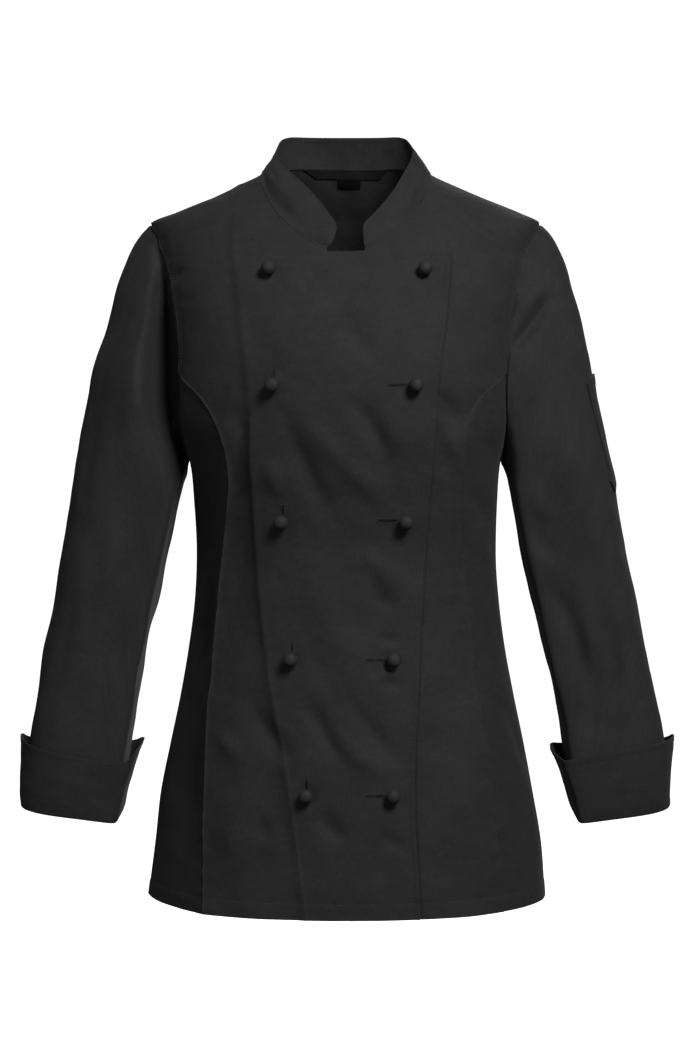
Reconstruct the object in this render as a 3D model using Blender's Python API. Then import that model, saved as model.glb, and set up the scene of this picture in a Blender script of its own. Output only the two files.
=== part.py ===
"""A cook's double-breasted jacket in black cotton twill, worn shape with no wearer.

Metres, +Z up. The wearer faces -Y and the wearer's left is +X. The origin is the middle of
the neck base, where the shoulders carry the jacket. Every panel is a thin wall: its outer
face lies on one worn form, and its inner face is the same points moved in by the cloth.
"""
import math

import bmesh
import bpy
import numpy as np
from mathutils import Vector
from mathutils.bvhtree import BVHTree

# Driving dimensions, metres.
WALL = 0.0012           # folded and pressed twill
GAP = 0.0003            # between neighbours at a seam
SEAM_STEP = 0.0002      # the sleeve starts this far beyond the armhole's own seam line
UNDERARM_STEP = 0.0005  # and this far outside it at the underarm
HEM = -0.692            # hem below the neck base
WAIST = -0.362
UNDERARM = -0.275
PRINCESS_TOP = -0.191   # where the princess seam meets the armhole
LAP_TOP = -0.079        # straight top edge of the two laps
SHOULDER_TIP = -0.049
NECK_SIDE = 0.081       # half width of the neckline on the shoulder
NECK_BACK = 0.006       # height of the neckline at the centre back
COLLAR_END = 0.0175     # each collar half stops this far from the centre
COLLAR_END_HEIGHT = -0.0755
RIDGE_FOOT = 0.006      # where the overlap settles beside the underlap's edge
FORM_LIMIT = 0.012      # highest section of the form
BUTTON_RADIUS = 0.0067
SHANK_RADIUS = 0.0021
SHANK_LENGTH = 0.0016
CUFF_HEIGHT = 0.067
CUFF_LEG = 0.012        # inner leg of the turned cuff
CUFF_SETTLE = 0.030     # the cuff's uneven height starts this far above the fold
SLEEVE_LENGTH = 0.333   # underarm section to the fold of the cuff
SLEEVE_NARROWING = 0.0037
SIDE_TIP_TRIM = 0.06    # share of its last cell that the side panel's point stops short
COLLAR_CROWN = 0.0012   # the collar bulges this much between its seam and its free edge
TAPE_WALL = 0.0010
TAPE_SLANT = 0.006      # each end of the tape runs in by this much towards its lower edge
CAP_OUT = (0.34, 0.95)          # how the sleeve leaves the seam: underarm, shoulder
CAP_DOWN = (0.90, 0.34)
CAP_REACH = (0.42, 0.44)
CAP_ALONG = 0.22
CAP_ARRIVAL = 0.50              # how straight it runs into the arm
CAP_SPACING = 1.15
ARM_SETTLE = 0.10               # the lines down the sleeve turn even over this length
ARM_FOLD_START = 0.3
SLEEVE_FOLD_SHIFT = 0.012       # the folds of one arm lie this much lower or higher
SLEEVE_FOLD_CHANGE = 0.25       # and are this share weaker or stronger

# Number of cells.
HEM_TO_WAIST_ROWS = 11
WAIST_TO_UNDERARM_ROWS = 3
SIDE_CELLS = 4
CAP_ROWS = 7
ARM_ROWS = 11
BUTTON_SIDES = 12


def table(columns, rows):
    """Turn rows of a named table into one array for each column."""
    return {name: np.array(values) for name, values in zip(columns, zip(*rows))}


# Level sections of the worn form: half widths on the wearer's right and left, depths in
# front and behind, and how square the section is (2 is an ellipse).
FORM = table(
    ("height", "right", "left", "front", "back", "squareness"),
    [
        (-0.695, 0.1917, 0.1925, 0.140, 0.132, 2.25),
        (-0.638, 0.1842, 0.1880, 0.137, 0.130, 2.25),
        (-0.592, 0.1790, 0.1800, 0.133, 0.127, 2.30),
        (-0.546, 0.1697, 0.1713, 0.129, 0.123, 2.30),
        (-0.500, 0.1600, 0.1617, 0.124, 0.118, 2.30),
        (-0.454, 0.1520, 0.1530, 0.119, 0.111, 2.30),
        (-0.408, 0.1460, 0.1470, 0.115, 0.104, 2.30),
        (-0.362, 0.1440, 0.1440, 0.113, 0.100, 2.30),
        (-0.316, 0.1460, 0.1450, 0.119, 0.106, 2.35),
        (-0.275, 0.1500, 0.1480, 0.126, 0.115, 2.40),
        (-0.235, 0.1625, 0.1575, 0.131, 0.121, 2.40),
        (-0.190, 0.1670, 0.1605, 0.130, 0.124, 2.40),
        (-0.150, 0.1697, 0.1635, 0.120, 0.122, 2.40),
        (-0.110, 0.1743, 0.1690, 0.103, 0.114, 2.40),
        (-0.080, 0.1800, 0.1745, 0.086, 0.104, 2.40),
        (-0.049, 0.1860, 0.1845, 0.069, 0.088, 2.35),
        (-0.038, 0.1617, 0.1655, 0.062, 0.082, 2.30),
        (-0.026, 0.1320, 0.1355, 0.055, 0.074, 2.30),
        (-0.014, 0.1060, 0.1075, 0.047, 0.067, 2.20),
        (-0.002, 0.0800, 0.0810, 0.039, 0.061, 2.20),
        (0.012, 0.0600, 0.0600, 0.030, 0.056, 2.20),
    ],
)

# Armhole seam, distance from the centre.
ARMHOLE = table(
    ("height", "right", "left"),
    [
        (-0.275, 0.1500, 0.1480),
        (-0.268, 0.1505, 0.1485),
        (-0.247, 0.1535, 0.1490),
        (-0.219, 0.1550, 0.1495),
        (-0.191, 0.1560, 0.1500),
        (-0.163, 0.1570, 0.1520),
        (-0.135, 0.1600, 0.1560),
        (-0.107, 0.1655, 0.1615),
        (-0.079, 0.1725, 0.1680),
        (-0.064, 0.1785, 0.1750),
        (-0.049, 0.1860, 0.1845),
    ],
)

# Lines down the front, distance from the centre: the two princess seams, and the free
# edges of the underlap (on the wearer's right) and of the overlap (on the left).
FRONT_LINES = table(
    ("height", "princess_right", "princess_left", "underlap", "overlap"),
    [
        (-0.692, 0.1334, 0.1490, 0.0375, 0.0680),
        (-0.640, 0.1338, 0.1445, 0.0440, 0.0655),
        (-0.590, 0.1334, 0.1363, 0.0505, 0.0630),
        (-0.530, 0.1305, 0.1275, 0.0600, 0.0640),
        (-0.470, 0.1256, 0.1200, 0.0708, 0.0670),
        (-0.410, 0.1213, 0.1148, 0.0775, 0.0702),
        (-0.350, 0.1158, 0.1098, 0.0820, 0.0735),
        (-0.290, 0.1090, 0.1072, 0.0848, 0.0775),
        (-0.262, 0.1120, 0.1090, 0.0858, 0.0800),
        (-0.240, 0.1190, 0.1130, 0.0868, 0.0820),
        (-0.215, 0.1335, 0.1260, 0.0882, 0.0838),
        (-0.191, 0.1560, 0.1500, 0.0905, 0.0855),
        (-0.135, 0.1600, 0.1560, 0.0970, 0.0925),
        (-0.079, 0.1725, 0.1680, 0.1037, 0.0965),
    ],
)

# Front neckline from the shoulder to the collar's end.
NECKLINE = table(
    ("across", "height"),
    [
        (0.0803, -0.0075),
        (0.0765, -0.0180),
        (0.0645, -0.0402),
        (0.0440, -0.0588),
        (0.0290, -0.0690),
        (COLLAR_END, COLLAR_END_HEIGHT),
    ],
)

# Folds that stand out from a panel: a line from one end to the other across the panel
# (distance from the centre and height), half width and height of the ridge.
FRONT_FOLDS = [
    (-0.055, -0.325, 0.050, -0.560, 0.022, 0.0030),
    (0.055, -0.215, -0.030, -0.350, 0.020, 0.0022),
    (-0.020, -0.470, 0.045, -0.640, 0.018, 0.0020),
    (-0.105, -0.420, -0.085, -0.660, 0.016, 0.0024),
    (0.110, -0.470, 0.118, -0.680, 0.018, 0.0026),
    (-0.120, -0.215, -0.075, -0.300, 0.018, 0.0022),
    (0.125, -0.215, 0.095, -0.300, 0.018, 0.0020),
]
BACK_FOLDS = [
    (-0.110, -0.180, -0.040, -0.330, 0.020, 0.0030),
    (0.115, -0.190, 0.045, -0.340, 0.020, 0.0028),
    (-0.070, -0.380, -0.095, -0.670, 0.020, 0.0032),
    (0.065, -0.390, 0.100, -0.670, 0.020, 0.0030),
    (0.005, -0.430, -0.010, -0.680, 0.024, 0.0026),
    (-0.125, -0.330, -0.050, -0.360, 0.014, 0.0018),
]

# Sections down the sleeve, from the underarm to the fold of the cuff: where the outer and
# inner lines run on each arm, and the middle and half depth of the section.
SLEEVE = table(
    ("down", "outer_right", "outer_left", "inner_right", "inner_left",
     "outer_height", "inner_height", "middle", "half_depth"),
    [
        (0.000, 0.2597, 0.2521, 0.1594, 0.1575, -0.2810, -0.2995, 0.006, 0.0620),
        (0.083, 0.2736, 0.2689, 0.1767, 0.1747, -0.3620, -0.3800, 0.006, 0.0580),
        (0.150, 0.2838, 0.2827, 0.1897, 0.1883, -0.4270, -0.4450, 0.002, 0.0540),
        (0.219, 0.2957, 0.2970, 0.2023, 0.2037, -0.4940, -0.5120, -0.004, 0.0500),
        (0.264, 0.3027, 0.3048, 0.2095, 0.2110, -0.5375, -0.5550, -0.008, 0.0480),
        (0.333, 0.3125, 0.3115, 0.2167, 0.2200, -0.6050, -0.6170, -0.010, 0.0475),
    ],
)

# Folds of the sleeves: place down the sleeve and round it (degrees, 0 outer, 90 front),
# half length down and half width round, and height. Negative heights are troughs.
SLEEVE_FOLDS = [
    (0.020, 118.0, 0.060, 26.0, -0.0045),
    (0.105, 62.0, 0.090, 22.0, 0.0035),
    (0.140, 140.0, 0.040, 24.0, -0.0035),
    (0.185, 100.0, 0.070, 20.0, -0.0030),
    (0.120, 250.0, 0.080, 26.0, 0.0035),
    (0.160, 205.0, 0.045, 24.0, -0.0035),
    (0.060, 300.0, 0.070, 24.0, -0.0030),
]

# Exterior path of the turned cuff: out from the sleeve's line, up from the fold. The first
# point is the free edge, the last is where the inner leg meets the sleeve.
CUFF_PATH = table(
    ("out", "up"),
    [
        (0.0095, CUFF_HEIGHT),
        (0.0062, 0.0450),
        (0.0030, 0.0220),
        (0.0004, 0.0050),
        (-0.0010, 0.0010),
        (-0.0033, 0.0003),
        (-0.0048, 0.0020),
        (-0.0049, CUFF_LEG),
    ],
)

# The cuff's free edge round the sleeve: its height on each arm as a share of the full
# height, and how far it flares as a share of the path's own distance.
CUFF_EDGE = table(
    ("around", "right", "left", "flare"),
    [
        (0.0, 1.02, 1.01, 1.00),
        (45.0, 0.98, 1.01, 0.90),
        (90.0, 0.96, 1.03, 0.80),
        (150.0, 1.03, 1.03, 1.10),
        (180.0, 1.17, 1.09, 1.45),
        (215.0, 1.10, 1.06, 1.20),
        (270.0, 0.97, 0.97, 1.00),
        (325.0, 0.94, 0.93, 1.00),
        (360.0, 1.02, 1.01, 1.00),
    ],
)

# Free edge of the collar, by the share of its seam from the centre back to a front end. The
# two ends are rounded, and the wearer's left one stands a little further from the centre.
COLLAR_EDGE = table(
    ("share", "right", "left", "along", "height"),
    [
        (0.000, 0.0000, 0.0000, 0.0490, 0.0375),
        (0.100, 0.0245, 0.0245, 0.0480, 0.0375),
        (0.180, 0.0390, 0.0385, 0.0440, 0.0368),
        (0.280, 0.0535, 0.0530, 0.0350, 0.0338),
        (0.360, 0.0615, 0.0595, 0.0270, 0.0280),
        (0.435, 0.0655, 0.0630, 0.0170, 0.0200),
        (0.520, 0.0640, 0.0615, 0.0030, 0.0120),
        (0.610, 0.0570, 0.0575, -0.0110, 0.0040),
        (0.680, 0.0481, 0.0530, -0.0240, -0.0045),
        (0.745, 0.0370, 0.0470, -0.0390, -0.0155),
        (0.810, 0.0255, 0.0375, -0.0540, -0.0290),
        (0.872, 0.0160, 0.0265, -0.0670, -0.0420),
        (0.940, 0.0085, 0.0160, -0.0775, -0.0555),
        (1.000, 0.0085, 0.0148, -0.0832, -0.0695),
    ],
)

# Stations of the back neckline, distance from the centre.
BACK_NECK = np.array([0.0, 0.011, 0.0265, 0.042, 0.056, 0.070, NECK_SIDE])
TAPE_STATIONS = 3       # the tape ends at this station of the back neckline
LABEL_STATIONS = 1
TAPE_DROP = 0.0098      # rows of the back below the neckline that carry the tape and label
LABEL_DROP = 0.0190
YOKE_DROP = 0.0420

# Centres of the buttons: distance from the centre on each side, and height.
BUTTONS = table(
    ("height", "right", "left"),
    [
        (-0.0988, 0.0700, 0.0716),
        (-0.2022, 0.0654, 0.0620),
        (-0.3262, 0.0574, 0.0533),
        (-0.4545, 0.0492, 0.0426),
        (-0.5782, 0.0357, 0.0424),
    ],
)

# The pen pocket on the wearer's left sleeve, in rows down the sleeve and columns round it.
POCKET_TOP = 4.6
POCKET_BOTTOM = 7.4
POCKET_POINT = 0.4
POCKET_REACH = 2


def clear_scene():
    """Remove whatever the scene holds."""
    for item in list(bpy.data.objects):
        bpy.data.objects.remove(item, do_unlink=True)


def smooth_read(at, stations, values):
    """Read a smooth curve through the values: a cubic whose slope is level at each turn."""
    at = np.asarray(at, float)
    steps = np.diff(stations)
    rises = np.diff(values) / steps
    slopes = np.empty_like(values)
    inner = (rises[:-1] * steps[1:] + rises[1:] * steps[:-1]) / (steps[1:] + steps[:-1])
    slopes[1:-1] = np.where(rises[:-1] * rises[1:] <= 0.0, 0.0, inner)
    slopes[0] = rises[0]
    slopes[-1] = rises[-1]
    low = np.clip(np.searchsorted(stations, at, side="right") - 1, 0, len(stations) - 2)
    t = (at - stations[low]) / steps[low]
    start = values[low] * (1 + 2 * t) * (1 - t) ** 2
    start_slope = slopes[low] * steps[low] * t * (1 - t) ** 2
    end = values[low + 1] * t * t * (3 - 2 * t)
    end_slope = slopes[low + 1] * steps[low] * t * t * (t - 1)
    return start + start_slope + end + end_slope


def read(named, column, at, by="height"):
    """Read one column of a table at any value of the column that orders it."""
    return smooth_read(at, named[by], named[column])


def unit(vectors):
    """Scale vectors to length one."""
    lengths = np.linalg.norm(vectors, axis=-1, keepdims=True)
    return vectors / np.maximum(lengths, 1e-12)


def half_width(across, height):
    """Half width of the form on the side where the point lies."""
    return np.where(across < 0, read(FORM, "right", height), read(FORM, "left", height))


def ridge_height(across):
    """Height of the shoulder line at a distance from the centre."""
    heights = np.linspace(SHOULDER_TIP, FORM_LIMIT, 200)
    widths = half_width(np.full_like(heights, np.sign(across)), heights)
    return np.interp(-abs(across), -widths, heights)


def form_points(across, height, facing):
    """Points of the form for level and height: front is -1, back is +1."""
    across, height = np.broadcast_arrays(np.asarray(across, float), np.asarray(height, float))
    depth = read(FORM, "front" if facing < 0 else "back", height)
    power = read(FORM, "squareness", height)
    share = np.clip(np.abs(across) / half_width(across, height), 0.0, 1.0)
    along = facing * depth * (1.0 - share ** power) ** (1.0 / power)
    return np.stack([across, along, height], axis=-1)


def form_level(points):
    """One on the form, more outside it: the sum of both shares raised to the squareness."""
    across, along, height = points[..., 0], points[..., 1], points[..., 2]
    front = read(FORM, "front", height)
    back = read(FORM, "back", height)
    depth = np.where(along < 0, front, back)
    power = read(FORM, "squareness", height)
    width = half_width(across, height)
    return (np.abs(across) / width) ** power + (np.abs(along) / depth) ** power


def outward(points):
    """Direction straight out of the form, from the slope of its level."""
    steps = (0.0005, 0.0005, 0.005)
    slopes = []
    for axis, step in enumerate(steps):
        move = np.zeros(3)
        move[axis] = step
        slopes.append((form_level(points + move) - form_level(points - move)) / (2 * step))
    return unit(np.stack(slopes, axis=-1))


def fold_height(points, folds):
    """Height of the soft ridges at each point: a bell across each line, fading at its ends."""
    total = np.zeros(points.shape[:-1])
    for start_x, start_z, end_x, end_z, half, height in folds:
        along = np.array([end_x - start_x, end_z - start_z])
        offset_x = points[..., 0] - start_x
        offset_z = points[..., 2] - start_z
        reach = np.hypot(*along)
        share = (offset_x * along[0] + offset_z * along[1]) / reach ** 2
        aside = (offset_x * along[1] - offset_z * along[0]) / reach
        fade = np.clip(1.0 - (2.0 * share - 1.0) ** 2, 0.0, 1.0)
        total += height * fade * np.exp(-(aside / half) ** 2)
    return total


def on_torso(across, height, facing):
    """Outer points of a panel with its folds."""
    flat = form_points(across, height, facing)
    folds = FRONT_FOLDS if facing < 0 else BACK_FOLDS
    return flat + outward(flat) * fold_height(flat, folds)[..., None]


def material(name, colour, roughness):
    """A plain finish for one sub-part."""
    made = bpy.data.materials.new(name)
    made.use_nodes = True
    shader = made.node_tree.nodes["Principled BSDF"]
    shader.inputs["Base Color"].default_value = (*colour, 1.0)
    shader.inputs["Roughness"].default_value = roughness
    shader.inputs["Metallic"].default_value = 0.0
    made.diffuse_color = (*colour, 1.0)
    return made


def solid(name, vertices, faces, finish):
    """Make one closed, outward-facing object from points and faces."""
    mesh = bpy.data.meshes.new(name)
    mesh.from_pydata([tuple(point) for point in vertices], [], faces)
    work = bmesh.new()
    work.from_mesh(mesh)
    bmesh.ops.remove_doubles(work, verts=work.verts, dist=1e-6)
    bmesh.ops.dissolve_degenerate(work, edges=work.edges, dist=1e-6)
    bmesh.ops.recalc_face_normals(work, faces=work.faces)
    work.to_mesh(mesh)
    work.free()
    mesh.materials.append(finish)
    mesh.shade_smooth()
    mesh.set_sharp_from_angle(angle=math.radians(50))
    made = bpy.data.objects.new(name, mesh)
    bpy.context.scene.collection.objects.link(made)
    return made


def cell_faces(present, columns_closed=False, turned_from=None):
    """Two triangles for each cell of a grid whose four corners are present.

    From the row turned_from up, cells are cut along their other diagonal.
    """
    count_rows, count_columns = present.shape
    numbers = np.arange(present.size).reshape(present.shape)
    last = count_columns if columns_closed else count_columns - 1
    faces = []
    for row in range(count_rows - 1):
        for column in range(last):
            following = (column + 1) % count_columns
            corners = [(row, column), (row, following), (row + 1, following), (row + 1, column)]
            if all(present[corner] for corner in corners):
                a, b, c, d = [int(numbers[corner]) for corner in corners]
                if turned_from is not None and row >= turned_from:
                    faces += [(a, b, d), (b, c, d)]
                else:
                    faces += [(a, b, c), (a, c, d)]
    return faces


def cloth(name, outer, inner, faces, finish):
    """A wall between outer and inner points: both faces, and a rim along each open edge."""
    outer = outer.reshape(-1, 3)
    inner = inner.reshape(-1, 3)
    used = sorted({corner for face in faces for corner in face})
    order = {corner: place for place, corner in enumerate(used)}
    count = len(used)
    vertices = np.concatenate([outer[used], inner[used]])
    skin = [tuple(order[corner] for corner in face) for face in faces]
    edges = {}
    for face in skin:
        for start, end in zip(face, face[1:] + face[:1]):
            edges.setdefault(frozenset((start, end)), []).append((start, end))
    rims = []
    for sides in edges.values():
        if len(sides) == 1:
            start, end = sides[0]
            rims.append((end, start, start + count))
            rims.append((end, start + count, end + count))
    lining = [tuple(corner + count for corner in reversed(face)) for face in skin]
    return solid(name, vertices, skin + lining + rims, finish)


def pull_in(points, edges):
    """Draw the named edges of a grid in by half a seam gap."""
    moved = points.copy()
    if "left" in edges:
        moved[:, 0] += unit(points[:, 1] - points[:, 0]) * GAP / 2
    if "right" in edges:
        moved[:, -1] += unit(points[:, -2] - points[:, -1]) * GAP / 2
    if "bottom" in edges:
        moved[0] += unit(points[1] - points[0]) * GAP / 2
    if "top" in edges:
        moved[-1] += unit(points[-2] - points[-1]) * GAP / 2
    return moved


def spaced(start, end, cells):
    """Even stations from start to end."""
    return np.linspace(start, end, cells + 1)


LOWER_HEIGHTS = np.concatenate([
    spaced(HEM, WAIST, HEM_TO_WAIST_ROWS),
    spaced(WAIST, UNDERARM, WAIST_TO_UNDERARM_ROWS)[1:],
    ARMHOLE["height"][1:9],
])
UPPER_SHARES = np.array([0.42, 0.75, 0.93, 1.0])
WAIST_ROW = HEM_TO_WAIST_ROWS
UNDERARM_ROW = WAIST_ROW + WAIST_TO_UNDERARM_ROWS
PRINCESS_ROW = UNDERARM_ROW + 4
LAP_ROW = len(LOWER_HEIGHTS) - 1
SIDE_NAMES = {-1: "right", 1: "left"}


def armhole_across(side, height):
    """Signed distance of the armhole seam from the centre."""
    return side * read(ARMHOLE, SIDE_NAMES[side], height)


def outer_line(side, heights):
    """Princess seam up to the armhole, then the armhole."""
    princess = side * read(FRONT_LINES, "princess_" + SIDE_NAMES[side], heights)
    return np.where(heights < PRINCESS_TOP - 1e-6, princess, armhole_across(side, heights))


def front_columns():
    """Lines that run down the whole front, from the wearer's right to the left.

    Both fronts share them, so the overlap lies on the underlap point for point.
    """
    heights = LOWER_HEIGHTS
    underlap = -read(FRONT_LINES, "underlap", heights)
    overlap = read(FRONT_LINES, "overlap", heights)
    collar_end = np.full_like(heights, COLLAR_END)
    marks = [
        (outer_line(-1, heights), 3),
        (underlap - RIDGE_FOOT, 1),
        (underlap, 6),
        (-collar_end, 2),
        (collar_end, 6),
        (overlap, 4),
        (outer_line(1, heights), 0),
    ]
    columns = []
    for (start, cells), (end, _) in zip(marks, marks[1:]):
        for share in np.arange(cells) / cells:
            columns.append(start + (end - start) * share)
    columns.append(marks[-1][0])
    return np.stack(columns, axis=1)


UNDERLAP_COLUMN = 4
RIGHT_COLLAR_COLUMN = 10
LEFT_COLLAR_COLUMN = 12
OVERLAP_COLUMN = 18
SHOULDER_CELLS = 4


def shoulder_stations(side):
    """Points along the shoulder line from the tip to the neck."""
    tip = read(ARMHOLE, SIDE_NAMES[side], SHOULDER_TIP)
    across = side * spaced(float(tip), NECK_SIDE, SHOULDER_CELLS)
    heights = np.array([ridge_height(value) for value in across])
    heights[0] = SHOULDER_TIP
    return across, heights


def front_top(side):
    """Top edge of a front, tip to collar end: shoulder line, then neckline."""
    across, heights = shoulder_stations(side)
    across = np.concatenate([across, side * NECKLINE["across"]])
    heights = np.concatenate([heights, NECKLINE["height"]])
    return across, heights


def front_grid(side):
    """Across and height of every point of one side's front, with NaN where it has none."""
    columns = front_columns()
    if side < 0:
        lower = columns[:, :OVERLAP_COLUMN + 1]
        carried = list(range(RIGHT_COLLAR_COLUMN + 1))
        top_across, top_heights = front_top(-1)
    else:
        lower = columns[:, UNDERLAP_COLUMN:]
        carried = list(range(LEFT_COLLAR_COLUMN - UNDERLAP_COLUMN, lower.shape[1]))
        top_across, top_heights = [values[::-1] for values in front_top(1)]
    total_rows = len(LOWER_HEIGHTS) + len(UPPER_SHARES)
    across = np.full((total_rows, lower.shape[1]), np.nan)
    heights = np.full_like(across, np.nan)
    across[:LAP_ROW + 1] = lower
    heights[:LAP_ROW + 1] = LOWER_HEIGHTS[:, None]
    start = lower[LAP_ROW, carried]
    for number, share in enumerate(UPPER_SHARES):
        row = LAP_ROW + 1 + number
        across[row, carried] = start + (top_across - start) * share
        heights[row, carried] = LAP_TOP + (top_heights - LAP_TOP) * share
        edge = 0 if side < 0 else -1
        across[row, edge] = armhole_across(side, heights[row, edge])
    return across, heights


def lap_share(shape):
    """How far each point of the overlapping front is lifted off the underlap, 0 to 1."""
    lift = np.zeros(shape)
    lift[:LAP_ROW + 1, UNDERLAP_COLUMN:] = 1.0
    return lift


def front_surface(side):
    """Outer points and outward directions of one front, before its seams are drawn in."""
    across, heights = front_grid(side)
    present = ~np.isnan(across)
    filled_across = np.where(present, across, 0.0)
    filled_heights = np.where(present, heights, HEM)
    points = on_torso(filled_across, filled_heights, -1)
    normals = outward(form_points(filled_across, filled_heights, -1))
    if side < 0:
        points = points + normals * (lap_share(across.shape) * (WALL + GAP))[..., None]
    return points, normals, present


def seam_gaps(points, present, side):
    """Draw a front's seams in: the outer line, the shoulder and the neckline."""
    moved = points.copy()
    edge, beside = (0, 1) if side < 0 else (-1, -2)
    moved[:, edge] += unit(points[:, beside] - points[:, edge]) * GAP / 2
    moved[-1] += unit(points[-2] - points[-1]) * GAP / 2
    return np.where(present[..., None], moved, points)


def make_front(side, name, finish):
    """One front: hem to shoulder, princess seam or armhole to its free edge."""
    points, normals, present = front_surface(side)
    outer = seam_gaps(points, present, side)
    faces = cell_faces(present, turned_from=LAP_ROW if side > 0 else None)
    return cloth(name, outer, outer - normals * WALL, faces, finish)


def side_grid(side):
    """Points of a side panel: side seam or armhole to princess seam, hem to its top."""
    heights = LOWER_HEIGHTS[:PRINCESS_ROW + 1]
    princess = np.abs(outer_line(side, heights))
    armhole = np.abs(armhole_across(side, heights))
    power = read(FORM, "squareness", heights)
    width = read(FORM, SIDE_NAMES[side], heights)
    outer_share = np.where(heights <= UNDERARM + 1e-6, 1.0, armhole / width)
    start = np.arcsin(np.clip(outer_share, 0, 1) ** (power / 2))
    end = np.arcsin(np.clip(princess / width, 0, 1) ** (power / 2))
    turn = start[:, None] + (end - start)[:, None] * spaced(0.0, 1.0, SIDE_CELLS)
    across = side * width[:, None] * np.sin(turn) ** (2 / power[:, None])
    return across, np.broadcast_to(heights[:, None], across.shape)


def make_side(side, name, finish):
    """One side panel of the front."""
    across, heights = side_grid(side)
    points = on_torso(across, heights, -1)
    normals = outward(form_points(across, heights, -1))
    points[-1] += (points[-2] - points[-1]) * SIDE_TIP_TRIM
    outer = pull_in(points, ("left", "right"))
    present = np.ones(across.shape, bool)
    return cloth(name, outer, outer - normals * WALL, cell_faces(present), finish)


def back_grid():
    """Across and height of the back's points, wearer's right to left and hem to neck."""
    right_across, right_heights = shoulder_stations(-1)
    left_across, left_heights = shoulder_stations(1)
    inner = np.concatenate([-BACK_NECK[-2:0:-1], BACK_NECK[:-1]])
    inner_heights = NECK_BACK * (1.0 - (inner / NECK_SIDE) ** 4)
    top_across = np.concatenate([right_across, inner, left_across[::-1]])
    top_heights = np.concatenate([right_heights, inner_heights, left_heights[::-1]])
    tips = np.where(top_across < 0, -top_across[0], top_across[-1])
    turn = np.arcsin(np.clip(top_across / tips, -1.0, 1.0)) / (math.pi / 2)
    rows_across = []
    rows_heights = []
    for row, height in enumerate(LOWER_HEIGHTS):
        power = read(FORM, "squareness", height)
        climb = np.clip((height - UNDERARM) / (LAP_TOP - UNDERARM), 0.0, 1.0)
        ends = (armhole_across(-1, max(height, UNDERARM)), armhole_across(1, max(height, UNDERARM)))
        if height <= UNDERARM + 1e-6:
            ends = (-read(FORM, "right", height), read(FORM, "left", height))
        reach = np.where(turn < 0, -ends[0], ends[1])
        wrapped = np.sign(turn) * np.sin(np.abs(turn) * math.pi / 2) ** (2 / power)
        level = top_across / tips
        rows_across.append(reach * (wrapped + (level - wrapped) * climb))
        rows_heights.append(np.full_like(top_across, height))
    start = rows_across[-1]
    drops = back_drops(top_heights - LAP_TOP)
    for share in drops:
        row_heights = LAP_TOP + (top_heights - LAP_TOP) * share
        across = start + (top_across - start) * share
        across[0] = armhole_across(-1, row_heights[0])
        across[-1] = armhole_across(1, row_heights[-1])
        rows_across.append(across)
        rows_heights.append(row_heights)
    return np.array(rows_across), np.array(rows_heights)


def back_drops(climb):
    """Shares of the way up for the rows above the lap's height.

    They are the front's shares at the armhole and turn, towards the neck, into the rows
    that carry the label and the tape.
    """
    neck_climb = climb.max()
    neckward = np.clip((climb - climb[0]) / (neck_climb - climb[0]), 0.0, 1.0) ** 0.5
    at_neck = 1.0 - np.array([YOKE_DROP, LABEL_DROP, TAPE_DROP, 0.0]) / neck_climb
    return [edge + (neck - edge) * neckward for edge, neck in zip(UPPER_SHARES, at_neck)]


def back_surface():
    """Outer points and outward directions of the back."""
    across, heights = back_grid()
    points = on_torso(across, heights, 1)
    normals = outward(form_points(across, heights, 1))
    return points, normals


def make_back(finish):
    """The back, in one piece from side seam to side seam."""
    points, normals = back_surface()
    outer = pull_in(points, ("left", "right", "top"))
    present = np.ones(outer.shape[:2], bool)
    return cloth("back", outer, outer - normals * WALL, cell_faces(present), finish)


def make_tape(finish_tape, finish_label):
    """Hanger tape inside the back neck, and a blank label below it."""
    points, normals = back_surface()
    middle = points.shape[1] // 2
    depth = WALL + GAP
    columns = slice(middle - TAPE_STATIONS, middle + TAPE_STATIONS + 1)
    band = points[-2:, columns] - normals[-2:, columns] * depth
    band = band + (band[::-1] - band) * 0.02
    slant = np.linspace(-1, 1, band.shape[1])[:, None] * np.array([TAPE_SLANT, 0.0, 0.0])
    band[0] -= slant * np.abs(np.linspace(-1, 1, band.shape[1]))[:, None] ** 4
    inner = band - normals[-2:, columns] * TAPE_WALL
    make_wall("neck_tape", band, inner, finish_tape)
    columns = slice(middle - LABEL_STATIONS, middle + LABEL_STATIONS + 1)
    patch = points[-3:-1, columns] - normals[-3:-1, columns] * depth
    patch[1] += unit(patch[0] - patch[1]) * GAP * 2
    inner = patch - normals[-3:-1, columns] * TAPE_WALL
    make_wall("neck_label", patch, inner, finish_label)


def make_wall(name, outer, inner, finish):
    """A plain rectangular grid as a wall."""
    present = np.ones(outer.shape[:2], bool)
    return cloth(name, outer, inner, cell_faces(present), finish)


def neckline_points():
    """Neckline from the wearer's right collar end, round the back, to the left one."""
    right = front_surface(-1)[0][-1, SHOULDER_CELLS:RIGHT_COLLAR_COLUMN + 1]
    left = front_surface(1)[0][-1, LEFT_COLLAR_COLUMN - UNDERLAP_COLUMN:-SHOULDER_CELLS]
    back = back_surface()[0][-1, SHOULDER_CELLS + 1:-SHOULDER_CELLS - 1]
    return np.concatenate([right[::-1], back, left[::-1]])


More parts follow.
